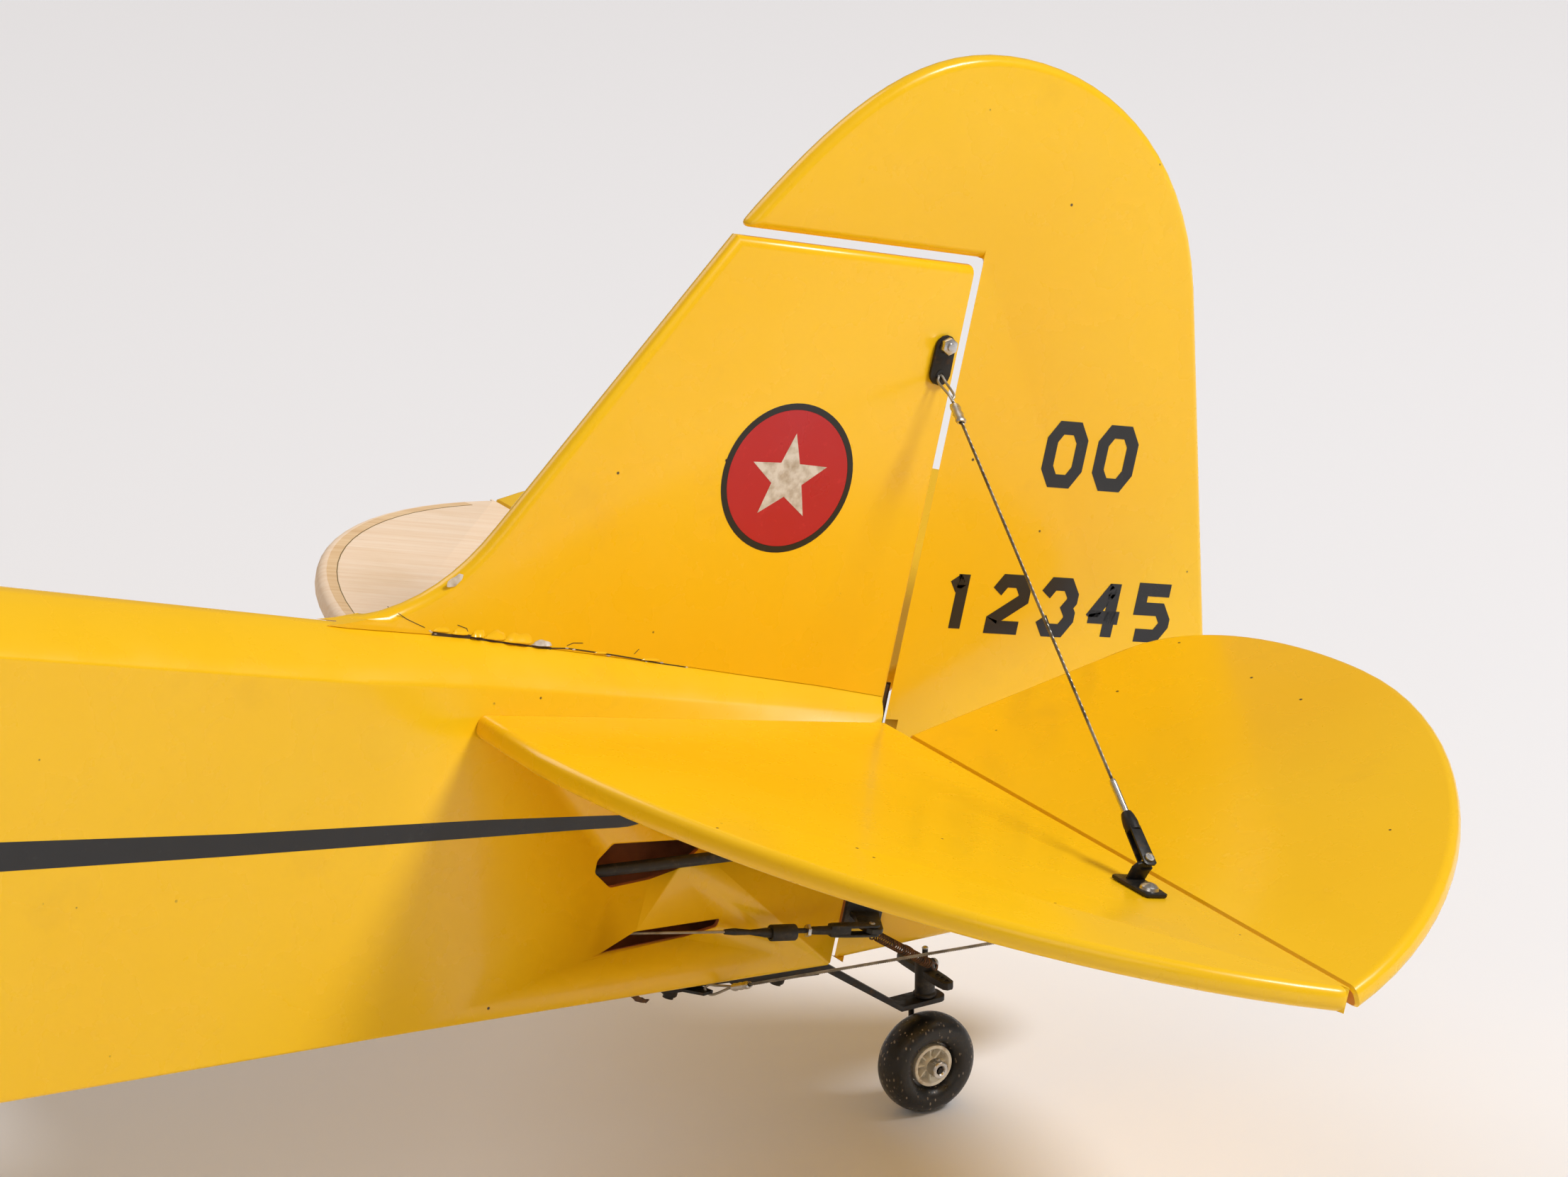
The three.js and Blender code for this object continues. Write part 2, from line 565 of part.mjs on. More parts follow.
// Half elevator to starboard, at neutral. It hangs in a group that is turned to its parked angle.
function elevatorShape() {
  const shape = new THREE.Shape();
  shape.moveTo(hingeGap / 2, 27);
  shape.lineTo(hingeGap / 2, tail.halfSpan);
  shape.bezierCurveTo(92, 352, 176, 236, 174, 152);
  shape.bezierCurveTo(173, 106, 158, 46, 112, 41);
  return shape;
}
const elevatorGroup = new THREE.Group();
elevatorGroup.rotation.y = -elevatorRest;
aeroplane.add(elevatorGroup);
const elevatorHalf = levelPlate(elevatorShape(), tail.thickness, 20);
addPair("elevator", elevatorHalf, yellowFilm, [elevatorGroup, elevatorGroup]);
add("elevator_joiner", bar([0, -26.6, 0], [0, 26.6, 0], 1.3, 1.3, 10), blackSteel, elevatorGroup);
const hornPlate = polygon([[2, -5.5 - gap], [24, -5.5 - gap], [24, -8], [7, elevatorArm.z - 5], [-2, elevatorArm.z - 5],
  [-3, elevatorArm.z + 3], [2, -8]]);
add("elevator_horn", joined(
  uprightPlate(hornPlate, 2.6).translate(0, -elevatorArm.y, 0),
  box([2, -elevatorArm.y - 9, -8], [26, -elevatorArm.y + 9, -5.5 - gap]),
), blackNylon, elevatorGroup);

// ---- Control runs ----
// Where the elevator horn's hole stands with the elevator at its parked angle.
const [armCos, armSin] = [Math.cos(elevatorRest), Math.sin(elevatorRest)];
const pushrodEnd = new THREE.Vector3(
  elevatorArm.x * armCos - elevatorArm.z * armSin,
  -elevatorArm.y + 4.4,
  elevatorArm.x * armSin + elevatorArm.z * armCos,
);
const pushrodExit = new THREE.Vector3(-141.6, -14.4, -68.5);
const pushrodAim = pushrodEnd.clone().sub(pushrodExit).normalize();
const onPushrod = (back) => pushrodEnd.clone().addScaledVector(pushrodAim, -back).toArray();
const { y: servoY, armLength, armRest } = elevatorServo;
const pushrodStart = [
  servoX + armLength * Math.sin(armRest), servoY + armLength * Math.cos(armRest), -151,
];
add("elevator_pushrod", joined(
  bentBar([onPushrod(26), onPushrod(100), pushrodExit.toArray(), onPushrod(215), [-300, -6, -92], [-640, -14, -122],
    pushrodStart], 3, 34, 8),
  bar(onPushrod(27), onPushrod(8), 1.4),
  bar(onPushrod(10), onPushrod(-3), 2.6),
), blackNylon);

// Pull cable with its shrink sleeve, then the threaded coupler and the clevis on the horn.
const cableExit = new THREE.Vector3(-124, 14.3, -98.2);
const cableAim = rudderPin.clone().sub(cableExit).normalize();
const onCable = (back) => rudderPin.clone().addScaledVector(cableAim, -back).toArray();
addPair("rudder_cable", joined(
  bentBar([onCable(60), onCable(100), cableExit.toArray(), onCable(150), [-300, 8, -113],
    [servoX, rudderServo.armLength, -160.4]], 0.7, 26, 6),
  bar(onCable(75), onCable(50), 1.9, 2.6, 10),
  bar(onCable(51), onCable(39), 4.2, 4.2, 14),
), blackNylon);
const jaw = (low, high) => box([-22, -3.6, low], [4, 3.6, high]);
const clevis = joined(
  bar([-38.6, 0, 0], [-20, 0, 0], 1.4),
  bar([-33.4, 0, 0], [-31, 0, 0], 3, 3, 12),
  bar([-30, 0, 0], [-19, 0, 0], 2.6, 3.2),
  jaw(-4, -2.1),
  jaw(2.1, 4),
  box([-22, -3.6, -4], [-18, 3.6, 4]),
);
const clevisTurn = new THREE.Quaternion().setFromUnitVectors(new THREE.Vector3(1, 0, 0), cableAim);
addPair("rudder_clevis", clevis.applyQuaternion(clevisTurn).translate(...rudderPin), blackNylon);

// ---- Tail bracing, starboard halves ----
const toPoint = (v) => [v.x, v.y, v.z];
function finTab() {
  const outline = new THREE.Shape();
  outline.absarc(-10, 184, 5.5, 0, Math.PI);
  outline.lineTo(-14.5, 172);
  outline.absarc(-9.5, 171, 5, Math.PI, 0);
  const plate = uprightPlate(outline, 1.6, 8).translate(0, tail.finThickness / 2 + gap + 0.8, 0);
  const nut = bar([-10, 5.8, 185], [-10, 10.5, 185], 4.2, 4.2, 6);
  return joined(plate, nut);
}
addPair("fin_brace_tab", finTab(), blackSteel);

const wireTop = new THREE.Vector3(-9, 10.5, 168);
const wireFoot = new THREE.Vector3(-17, 238, 16);
const wireAim = wireTop.clone().sub(wireFoot).normalize();
const onWire = (distance) => toPoint(wireFoot.clone().addScaledVector(wireAim, distance));
addPair("stab_brace_clevis", joined(
  levelPlate(polygon([[-28, 230], [-14, 230], [-16, 257], [-28, 257]]), 1.6)
    .translate(0, 0, tail.thickness / 2 + gap + 0.8),
  bar([-22, 250, 6], [-22, 250, 11.5], 3.2),
  bar([-17, 238, 6.6], onWire(2), 2.6),
  bar(onWire(0), onWire(26), 4.2, 2.6),
  bar(onWire(26), onWire(44), 1.9),
), blackSteel);
addPair("upper_brace_wire", joined(
  bar(onWire(44.4), toPoint(wireTop), 0.8, 0.8, 8),
  bar(onWire(252), onWire(262), 2.1, 2.1, 8),
), brightSteel);

const tabOutline = [[-90, -6], [-80, -6], [-73, -13.5], [-67, -11.5], [-71, 0]];
const tabSlope = Math.atan2(bottomAt(0) - bottomAt(-100), 100);
add("belly_brace_tab", joined(
  levelPlate(polygon([...tabOutline, ...tabOutline.slice(0, 4).map(([x, y]) => [x, -y]).reverse()]), 1.4)
    .rotateY(-tabSlope).translate(0, 0, bottomAt(0) - 4.5),
  bar([-82, 0, bottomAt(-82) - 4], [-82.6, 0, bottomAt(-82) - 10], 2.6),
), blackSteel);
const lowerFoot = new THREE.Vector3(-64, 13.4, -124.9);
const lowerTop = new THREE.Vector3(-23, 235, -12.5);
const lowerAim = lowerTop.clone().sub(lowerFoot).normalize();
const onLowerWire = (distance) => toPoint(lowerFoot.clone().addScaledVector(lowerAim, distance));
addPair("lower_brace_wire", joined(
  bar(toPoint(lowerFoot), toPoint(lowerTop), 0.8, 0.8, 8),
  bar(onLowerWire(9), onLowerWire(20), 2.1, 2.1, 8),
  bar([-22, 240, -10], [-22, 240, -6], 4),
  bar([-23, 233, -13.5], [-22, 240, -8.5], 2.2),
), brightSteel);

// ---- Tail wheel ----
// The leaf runs under the tail, drops behind it and ends in a pad that is level with the ground.
const level = new THREE.Group();
level.position.copy(steering);
level.rotation.y = -groundPitch;
aeroplane.add(level);
const alongPad = (x, down) => {
  const local = new THREE.Vector3(x, 0, -down).applyEuler(level.rotation).add(steering);
  return [local.x, local.z];
};
const leafTop = (x) => [x, bottomAt(x) - 0.5];
const leafUnder = (x, thickness) => [x, bottomAt(x) - 0.5 - thickness];
const leaf = polygon([
  leafTop(-96), leafTop(-2), alongPad(-16, 0), alongPad(9, 0), alongPad(9, 2.4), alongPad(-17, 2.4),
  leafUnder(-4, 2.6), leafUnder(-6, 4.6), leafUnder(-52, 4.6), leafUnder(-55, 2.8), leafUnder(-96, 2.8),
]);
const postBore = bar([0, 0, -12], [0, 0, 30], 1.4 + gap).applyMatrix4(
  new THREE.Matrix4().compose(steering, new THREE.Quaternion().setFromEuler(level.rotation), new THREE.Vector3(1, 1, 1)),
);
add("tail_leaf_spring", joined(
  cut(uprightPlate(leaf, 13), postBore),
  bar([-24, 0, bottomAt(-24) - 4.5], [-24.6, 0, bottomAt(-24) - 10], 2.6),
), blackSteel);
const wireBore = bar([0, 0, -5], [0, 0, 40], 1.4 + gap);

const legY = tailWheel.width / 2 + 3.6;
add("tail_wheel_leg", bentBar([
  [0, 0, 24.5], [0, 0, 10], [0, 0, -2.2], [0.3, 2.2, -5.3], [0.7, legY - 3, -6.2], [0.9, legY, -9.5], [1, legY, -20],
  [1, legY, -30], [1, legY - 2, tailAxle.z], [1, 0, tailAxle.z], [1, -legY - 2, tailAxle.z],
], 1.4, 40, 8), blackSteel, level);
add("tiller_arm", cut(joined(
  bar([0, 0, 0.4], [0, 0, 17.8], 4.8, 4.8, 14),
  box([-3.4, -22, 10.6], [3.4, 22, 14.4]),
  bar([0, 0, 15.4], [7.6, 0, 15.4], 2, 2, 8),
), wireBore), blackNylon, level);
const tailWheelGroup = new THREE.Group();
tailWheelGroup.position.copy(tailAxle);
level.add(tailWheelGroup);
add("tail_tyre", tyre(tailWheel, 24), rubber, tailWheelGroup);
add("tail_hub", hub(tailWheel, 1.4 + gap, 20), creamNylon, tailWheelGroup);
add("wheel_collar", cut(
  bar([1, -6.9, 0], [1, -13.2, 0], 4.2, 4.2, 16).translate(tailAxle.x - 1, 0, tailAxle.z),
  bar([tailAxle.x, 0, tailAxle.z], [tailAxle.x, -20, tailAxle.z], 1.4 + gap),
), brightSteel, level);

// Each spring hooks the rudder horn to the tiller arm.
addPair("steering_spring", bar([7, 31, -92.8], [51, 13.6, -110.5], 2.2, 2.2, 10), brightSteel);

// ---- Stand it on the ground, over the middle of its outline ----
aeroplane.rotation.y = groundPitch;
const root = new THREE.Group();
root.add(aeroplane);
root.updateMatrixWorld(true);
const bounds = new THREE.Box3().setFromObject(root, true);
const centre = bounds.getCenter(new THREE.Vector3());
aeroplane.position.set(-centre.x, -centre.y, -bounds.min.z);

export default root;
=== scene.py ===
# A film-covered balsa model aeroplane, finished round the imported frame.
# Pieces are made in millimetres with the fuselage level: nose to -X, starboard to +Y, and the rudder
# and elevator hinge lines crossing at 0. The rudder hinge of the frame says where that stands.
import json
import math
import random

import bmesh
import bpy
from mathutils import Matrix, Vector, noise
from mathutils.bvhtree import BVHTree


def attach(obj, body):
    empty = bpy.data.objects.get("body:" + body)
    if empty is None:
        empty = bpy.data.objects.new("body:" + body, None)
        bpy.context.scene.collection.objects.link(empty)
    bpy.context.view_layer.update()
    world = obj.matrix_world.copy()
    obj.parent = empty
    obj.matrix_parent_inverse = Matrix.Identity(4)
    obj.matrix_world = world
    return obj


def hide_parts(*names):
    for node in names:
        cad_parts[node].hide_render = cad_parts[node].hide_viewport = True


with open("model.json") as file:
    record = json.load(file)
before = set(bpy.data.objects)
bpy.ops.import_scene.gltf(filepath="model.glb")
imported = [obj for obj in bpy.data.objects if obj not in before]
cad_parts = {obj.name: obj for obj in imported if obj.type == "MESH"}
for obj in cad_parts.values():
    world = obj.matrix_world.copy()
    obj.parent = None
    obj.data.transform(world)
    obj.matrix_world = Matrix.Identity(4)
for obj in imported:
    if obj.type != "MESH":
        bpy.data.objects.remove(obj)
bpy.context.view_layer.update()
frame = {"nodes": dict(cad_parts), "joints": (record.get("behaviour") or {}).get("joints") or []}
scene = bpy.context.scene
joints = {joint["name"]: joint for joint in frame["joints"]}

# Places that the pieces are made in, each turned into metres of the frame.
toMetres = Matrix.Scale(0.001, 4)
hingeUp = Vector(joints["rudder_hinge"]["axis"])
parkedPitch = math.atan2(hingeUp.x, hingeUp.z)
levelPlace = Matrix.Translation(joints["rudder_hinge"]["pos_m"]) @ Matrix.Rotation(parkedPitch, 4, "Y") @ toMetres
elevatorPlace = levelPlace @ Matrix.Rotation(math.radians(-27), 4, "Y")  # parked 27 degrees up
steeringPlace = Matrix.Translation(joints["tail_steering_pivot"]["pos_m"]) @ toMetres
propellerPlace = Matrix.Translation(
    joints["propeller_spin"]["pos_m"]
) @ Matrix.Rotation(parkedPitch, 4, "Y") @ toMetres


def wheelPlace(joint):
    # The axle lies along +Z of the place.
    return Matrix.Translation(joints[joint]["pos_m"]) @ Matrix.Rotation(math.pi / 2, 4, "X") @ toMetres


def buildStudio():
    view = {"place": Vector((-0.645, -2.073, 1.148)), "aim": Vector((0.6253, 0.0, 0.2791)), "lens": 130.2}
    data = bpy.data.cameras.new("studioCamera")
    data.lens = view["lens"]
    data.sensor_width = 36.0
    data.clip_end = 60
    camera = bpy.data.objects.new("studioCamera", data)
    camera.location = view["place"]
    camera.rotation_mode = "QUATERNION"
    camera.rotation_quaternion = (view["aim"] - view["place"]).to_track_quat("-Z", "Y")
    scene.collection.objects.link(camera)
    scene.camera = camera

    lamps = {
        "keyLamp": {
            "towards": (0.62, -0.62, 1.05), "far": 8.0, "size": 2.3, "watts": 455, "tint": (1.0, 0.99, 0.985)
        },
        "fillLamp": {
            "towards": (-0.7, -1.0, 0.75), "far": 8.0, "size": 5.0, "watts": 70, "tint": (1.0, 0.97, 0.93)
        },
        "backLamp": {
            "towards": (-0.2, 1.0, 0.9), "far": 8.0, "size": 5.0, "watts": 150, "tint": (1.0, 0.99, 0.985)
        },
    }
    target = Vector((0.45, 0.0, 0.25))
    for name, lamp in lamps.items():
        light = bpy.data.lights.new(name, "AREA")
        light.shape = "DISK"
        light.size = lamp["size"]
        light.energy = lamp["watts"]
        light.color = lamp["tint"]
        holder = bpy.data.objects.new(name, light)
        away = Vector(lamp["towards"]).normalized()
        holder.location = target + away * lamp["far"]
        holder.rotation_mode = "QUATERNION"
        holder.rotation_quaternion = (-away).to_track_quat("-Z", "Y")
        scene.collection.objects.link(holder)

    world = bpy.data.worlds.new("paleStudio")
    world.use_nodes = True
    world.node_tree.nodes["Background"].inputs["Color"].default_value = (1.0, 0.87, 0.74, 1)
    world.node_tree.nodes["Background"].inputs["Strength"].default_value = 0.25
    scene.world = world
    scene.view_settings.view_transform = "Standard"

    floor = {"span": 30.0, "tone": (0.9, 0.91, 0.95, 1)}
    bm = bmesh.new()
    bmesh.ops.create_grid(bm, x_segments=1, y_segments=1, size=floor["span"] / 2)
    mesh = bpy.data.meshes.new("studioFloor")
    bm.to_mesh(mesh)
    bm.free()
    ground = bpy.data.objects.new("studioFloor", mesh)
    scene.collection.objects.link(ground)
    paper = bpy.data.materials.new("palePaper")
    paper.use_nodes = True
    shader = paper.node_tree.nodes["Principled BSDF"]
    shader.inputs["Base Color"].default_value = floor["tone"]
    shader.inputs["Roughness"].default_value = 0.9
    mesh.materials.append(paper)
    print("studio ready")


class Finish:
    # A material and its node tree, with short ways to grow it.
    def __init__(self, name, slot, colour, roughness, metallic=0.0):
        self.material = bpy.data.materials.new(name)
        self.material.use_nodes = True
        self.slot = slot
        self.tree = self.material.node_tree
        self.shader = self.tree.nodes["Principled BSDF"]
        self.shader.inputs["Base Color"].default_value = (*colour, 1)
        self.shader.inputs["Roughness"].default_value = roughness
        self.shader.inputs["Metallic"].default_value = metallic
        self.coords = self.tree.nodes.new("ShaderNodeTexCoord").outputs["Object"]

    def link(self, source, socket):
        self.tree.links.new(source, socket)

    def stretched(self, scale, turn=(0.0, 0.0, 0.0)):
        # Turned first, then stretched, so that a grain can run along any line.
        turned = self.tree.nodes.new("ShaderNodeMapping")
        turned.inputs["Rotation"].default_value = turn
        self.link(self.coords, turned.inputs["Vector"])
        node = self.tree.nodes.new("ShaderNodeMapping")
        node.inputs["Scale"].default_value = scale
        self.link(turned.outputs["Vector"], node.inputs["Vector"])
        return node.outputs["Vector"]

    def noise(self, scale, detail=3.0, vector=None, rough=0.5):
        node = self.tree.nodes.new("ShaderNodeTexNoise")
        node.inputs["Scale"].default_value = scale
        node.inputs["Detail"].default_value = detail
        node.inputs["Roughness"].default_value = rough
        self.link(vector or self.coords, node.inputs["Vector"])
        return node.outputs[0]

    def cells(self, scale, vector=None):
        node = self.tree.nodes.new("ShaderNodeTexVoronoi")
        node.inputs["Scale"].default_value = scale
        self.link(vector or self.coords, node.inputs["Vector"])
        return node.outputs["Distance"]

    def ramp(self, value, low, high, start=0.0, end=1.0):
        node = self.tree.nodes.new("ShaderNodeMapRange")
        for key, amount in (("From Min", low), ("From Max", high), ("To Min", start), ("To Max", end)):
            node.inputs[key].default_value = amount
        self.link(value, node.inputs["Value"])
        return node.outputs["Result"]

    def times(self, first, second):
        node = self.tree.nodes.new("ShaderNodeMath")
        node.operation = "MULTIPLY"
        self.link(first, node.inputs[0])
        self.link(second, node.inputs[1])
        return node.outputs[0]

    def mix(self, factor, first, second):
        node = self.tree.nodes.new("ShaderNodeMix")
        node.data_type = "RGBA"
        self.link(factor, node.inputs[0])
        for socket, term in ((node.inputs[6], first), (node.inputs[7], second)):
            if isinstance(term, tuple):
                socket.default_value = (*term, 1)
            else:
                self.link(term, socket)
        return node.outputs[2]

    def colour(self, source):
        self.link(source, self.shader.inputs["Base Color"])

    def roughness(self, source):
        self.link(source, self.shader.inputs["Roughness"])

    def bump(self, height, distance, strength=1.0):
        node = self.tree.nodes.new("ShaderNodeBump")
        node.inputs["Distance"].default_value = distance
        node.inputs["Strength"].default_value = strength
        self.link(height, node.inputs["Height"])
        chained = self.shader.inputs["Normal"].links
        if chained:
            self.link(chained[0].from_socket, node.inputs["Normal"])
        self.link(node.outputs["Normal"], self.shader.inputs["Normal"])

    def setting(self, name, value):
        self.shader.inputs[name].default_value = value


def makeYellowFilm():
    film = Finish("yellowFilm", "yellow_film", (0.95, 0.5, 0.02), 0.3)
    tone = film.mix(film.ramp(film.noise(5.0, 2.0), 0.3, 0.7), (0.96, 0.55, 0.004), (0.97, 0.59, 0.01))
    grime = film.noise(16.0, 6.0, rough=0.65)
    tone = film.mix(film.ramp(grime, 0.6, 0.88, 0.0, 0.18), tone, (0.42, 0.2, 0.03))
    pick = film.ramp(film.noise(31.0, 0.0), 0.56, 0.6)
    specks = film.ramp(film.cells(62.0), 0.035, 0.055, 1.0, 0.0)
    film.colour(film.mix(film.times(specks, pick), tone, (0.07, 0.035, 0.012)))
    film.roughness(film.ramp(film.noise(40.0, 5.0), 0.3, 0.75, 0.22, 0.36))
    film.bump(film.noise(9.0, 2.0), 0.0016, 0.2)
    film.bump(film.noise(420.0, 2.0), 0.00003, 0.15)
    film.setting("Specular IOR Level", 0.38)
    film.setting("Coat Weight", 0.2)
    film.setting("Coat Roughness", 0.12)
    return film


def makeWornShadedHinge():
    # Film ironed over a hinge bevel: darker as painted shade, since these faces turn away from the key lamp, with
    # pink primer showing where it has rubbed.
    worn = Finish("wornShadedHingeFilm", "yellow_film", (0.7, 0.3, 0.02), 0.45)
    rub = worn.noise(46.0, 6.0, worn.stretched((1.0, 0.3, 0.6)), 0.7)
    # Both tones are darker than the film: painted shade.
    tone = worn.mix(worn.ramp(worn.noise(9.0, 3.0), 0.35, 0.65), (0.78, 0.34, 0.02), (0.6, 0.24, 0.02))
    worn.colour(worn.mix(worn.ramp(rub, 0.55, 0.66, 0.0, 0.75), tone, (0.66, 0.36, 0.26)))
    worn.bump(rub, 0.0003, 0.4)
    return worn


def makeBareBalsa(name, pale, deep):
    wood = Finish(name, "bare_balsa", pale, 0.78)
    along = wood.stretched((2.0, 46.0, 46.0), (0.0, -parkedPitch, math.radians(4)))
    grain = wood.noise(5.0, 5.0, along, 0.6)
    tone = wood.mix(wood.ramp(grain, 0.35, 0.7), pale, deep)
    pores = wood.noise(40.0, 2.0, along)
    tone = wood.mix(wood.ramp(pores, 0.66, 0.74, 0.0, 0.4), tone, (0.6, 0.4, 0.23))
    stain = wood.noise(11.0, 4.0)
    wood.colour(wood.mix(wood.ramp(stain, 0.58, 0.75, 0.0, 0.3), tone, (0.66, 0.44, 0.2)))
    wood.bump(grain, 0.0004, 0.4)
    return wood


def makeBlackNylon():
    nylon = Finish("blackNylon", "black_nylon", (0.02, 0.019, 0.018), 0.5)
    dust = nylon.noise(220.0, 5.0, rough=0.7)
    nylon.colour(nylon.mix(nylon.ramp(dust, 0.52, 0.75, 0.0, 0.6), (0.016, 0.015, 0.014), (0.13, 0.1, 0.07)))
    nylon.roughness(nylon.ramp(dust, 0.3, 0.7, 0.38, 0.7))
    nylon.bump(nylon.noise(900.0, 3.0), 0.0001, 0.5)
    return nylon


def makeBlackSteel():
    steel = Finish("blackSteel", "black_steel", (0.03, 0.028, 0.026), 0.42, 0.75)
    rust = steel.noise(160.0, 6.0, rough=0.7)
    steel.colour(steel.mix(steel.ramp(rust, 0.55, 0.72, 0.0, 0.8), (0.035, 0.034, 0.033), (0.13, 0.075, 0.04)))
    steel.roughness(steel.ramp(rust, 0.4, 0.7, 0.35, 0.75))
    steel.bump(rust, 0.0002, 0.5)
    return steel


def makeRustySpring():
    wire = Finish("rustySpring", "rusty_spring", (0.14, 0.07, 0.035), 0.6, 0.6)
    rust = wire.noise(300.0, 5.0)
    wire.colour(wire.mix(wire.ramp(rust, 0.35, 0.65), (0.05, 0.035, 0.025), (0.21, 0.1, 0.045)))
    wire.bump(rust, 0.0001, 0.5)
    return wire


def makeSteelCable():
    cable = Finish("steelCable", "steel_cable", (0.3, 0.28, 0.24), 0.4, 0.85)
    tarnish = cable.noise(90.0, 4.0)
    cable.colour(cable.mix(cable.ramp(tarnish, 0.35, 0.65), (0.2, 0.18, 0.15), (0.5, 0.47, 0.41)))
    cable.roughness(cable.ramp(tarnish, 0.3, 0.7, 0.3, 0.55))
    return cable


def makeAluminium():
    metal = Finish("turnedAluminium", "bright_aluminium", (0.6, 0.59, 0.58), 0.3, 1.0)
    metal.roughness(metal.ramp(metal.noise(500.0, 3.0), 0.3, 0.7, 0.22, 0.45))
    metal.colour(metal.mix(metal.ramp(metal.noise(120.0, 4.0), 0.4, 0.75), (0.66, 0.655, 0.645), (0.4, 0.38, 0.35)))
    metal.bump(metal.noise(1200.0, 2.0), 0.00005, 0.4)
    return metal


def makeTyreRubber():
    rubber = Finish("tyreRubber", "tyre_rubber", (0.018, 0.017, 0.017), 0.55)
    scuffs = rubber.noise(110.0, 6.0, rough=0.7)
    tone = rubber.mix(rubber.ramp(scuffs, 0.55, 0.8, 0.0, 0.5), (0.012, 0.0115, 0.0115), (0.1, 0.085, 0.07))
    lint = rubber.cells(480.0, rubber.stretched((1.0, 1.0, 0.5)))
    patchy = rubber.ramp(rubber.noise(90.0, 2.0), 0.36, 0.55)
    flecks = rubber.times(rubber.ramp(lint, 0.14, 0.26, 0.7, 0.0), patchy)
    rubber.colour(rubber.mix(flecks, tone, (0.45, 0.36, 0.27)))
    rubber.roughness(rubber.ramp(scuffs, 0.35, 0.7, 0.24, 0.6))
    rubber.bump(rubber.noise(350.0, 4.0), 0.0004, 0.6)
    return rubber


def makeCreamNylon():
    nylon = Finish("creamNylon", "cream_nylon", (0.8, 0.73, 0.58), 0.42)
    dirt = nylon.noise(130.0, 5.0, rough=0.65)
    nylon.colour(nylon.mix(nylon.ramp(dirt, 0.52, 0.72, 0.0, 0.75), (0.9, 0.84, 0.71), (0.4, 0.27, 0.15)))
    nylon.roughness(nylon.ramp(dirt, 0.4, 0.7, 0.36, 0.65))
    return nylon


def makeGlazing():
    sheet = Finish("clearGlazing", "clear_glazing", (0.93, 0.97, 0.98), 0.06)
    sheet.setting("Transmission Weight", 0.92)
    sheet.setting("IOR", 1.3)
    sheet.roughness(sheet.ramp(sheet.noise(60.0, 4.0), 0.4, 0.8, 0.03, 0.16))
    return sheet


def makeVarnishedWood():
    wood = Finish("varnishedWood", "varnished_wood", (0.3, 0.13, 0.045), 0.25)
    along = wood.stretched((40.0, 40.0, 2.5), (0.0, -parkedPitch, 0.0))
    grain = wood.noise(4.0, 6.0, along, 0.6)
    wood.colour(wood.mix(wood.ramp(grain, 0.36, 0.66), (0.36, 0.17, 0.06), (0.15, 0.055, 0.02)))
    wood.roughness(wood.ramp(grain, 0.3, 0.7, 0.2, 0.32))
    wood.setting("Coat Weight", 0.8)
    wood.setting("Coat Roughness", 0.06)
    wood.bump(grain, 0.0002, 0.2)
    return wood


def makeTankPlastic():
    tank = Finish("tankPlastic", "tank_plastic", (0.85, 0.83, 0.76), 0.45)
    tank.colour(tank.mix(tank.ramp(tank.noise(40.0, 3.0), 0.4, 0.7), (0.86, 0.84, 0.77), (0.72, 0.66, 0.52)))
    return tank


def makeTrim(name, slot, colour, roughness=0.32):
    trim = Finish(name, slot, colour, roughness)
    faded = tuple(min(1.0, channel * 1.6 + 0.03) for channel in colour)
    trim.colour(trim.mix(trim.ramp(trim.noise(160.0, 6.0, rough=0.7), 0.6, 0.8, 0.0, 0.5), colour, faded))
    trim.roughness(trim.ramp(trim.noise(50.0, 4.0), 0.3, 0.7, roughness * 0.8, roughness * 1.3))
    return trim


def makeFiller():
    filler = Finish("crackedFiller", "white_filler", (0.86, 0.82, 0.76), 0.6)
    filler.colour(filler.mix(filler.ramp(filler.noise(240.0, 5.0), 0.4, 0.7), (0.74, 0.71, 0.66), (0.45, 0.38, 0.3)))
    filler.bump(filler.noise(500.0, 4.0), 0.0002, 0.6)
    return filler


def makeDarkWood():
    # Unpainted ply and dust inside the fuselage.
    wood = Finish("darkInside", "bare_balsa", (0.2, 0.11, 0.05), 0.85)
    wood.colour(wood.mix(wood.ramp(wood.noise(60.0, 5.0), 0.35, 0.7), (0.72, 0.25, 0.1), (0.42, 0.13, 0.05)))
    return wood


def finishPiece(bm, name, looks, body, place=levelPlace, sharp=35, replaced=(), outward=True, panels=False):
    # looks is one finish, or several with the faces' material numbers already set.
    # With panels, each face keeps its own flat or smooth shading.
    if not isinstance(looks, (list, tuple)):
        looks = [looks]
    if outward:
        bmesh.ops.recalc_face_normals(bm, faces=bm.faces)
    for face in bm.faces:
        face.smooth = face.smooth or not panels
    bmesh.ops.transform(bm, matrix=place, verts=bm.verts)
    mesh = bpy.data.meshes.new(name)
    bm.to_mesh(mesh)
    bm.free()
    mesh.set_sharp_from_angle(angle=math.radians(sharp))
    for look in looks:
        mesh.materials.append(look.material)
    piece = bpy.data.objects.new(name, mesh)
    scene.collection.objects.link(piece)
    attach(piece, body)
    if replaced:
        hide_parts(*replaced)
    return piece


def pieceName(node):
    first, *rest = node.split("_")
    return first + "".join(word.capitalize() for word in rest)


def copied(node, place=levelPlace):
    # The node's solid in the place's millimetres, with its triangles joined into clean faces.
    bm = bmesh.new()
    bm.from_mesh(frame["nodes"][node].data)
    bmesh.ops.transform(bm, matrix=place.inverted(), verts=bm.verts)
    bmesh.ops.remove_doubles(bm, verts=bm.verts, dist=0.004)
    bmesh.ops.dissolve_limit(bm, angle_limit=math.radians(0.6), verts=bm.verts, edges=bm.edges)
    return bm


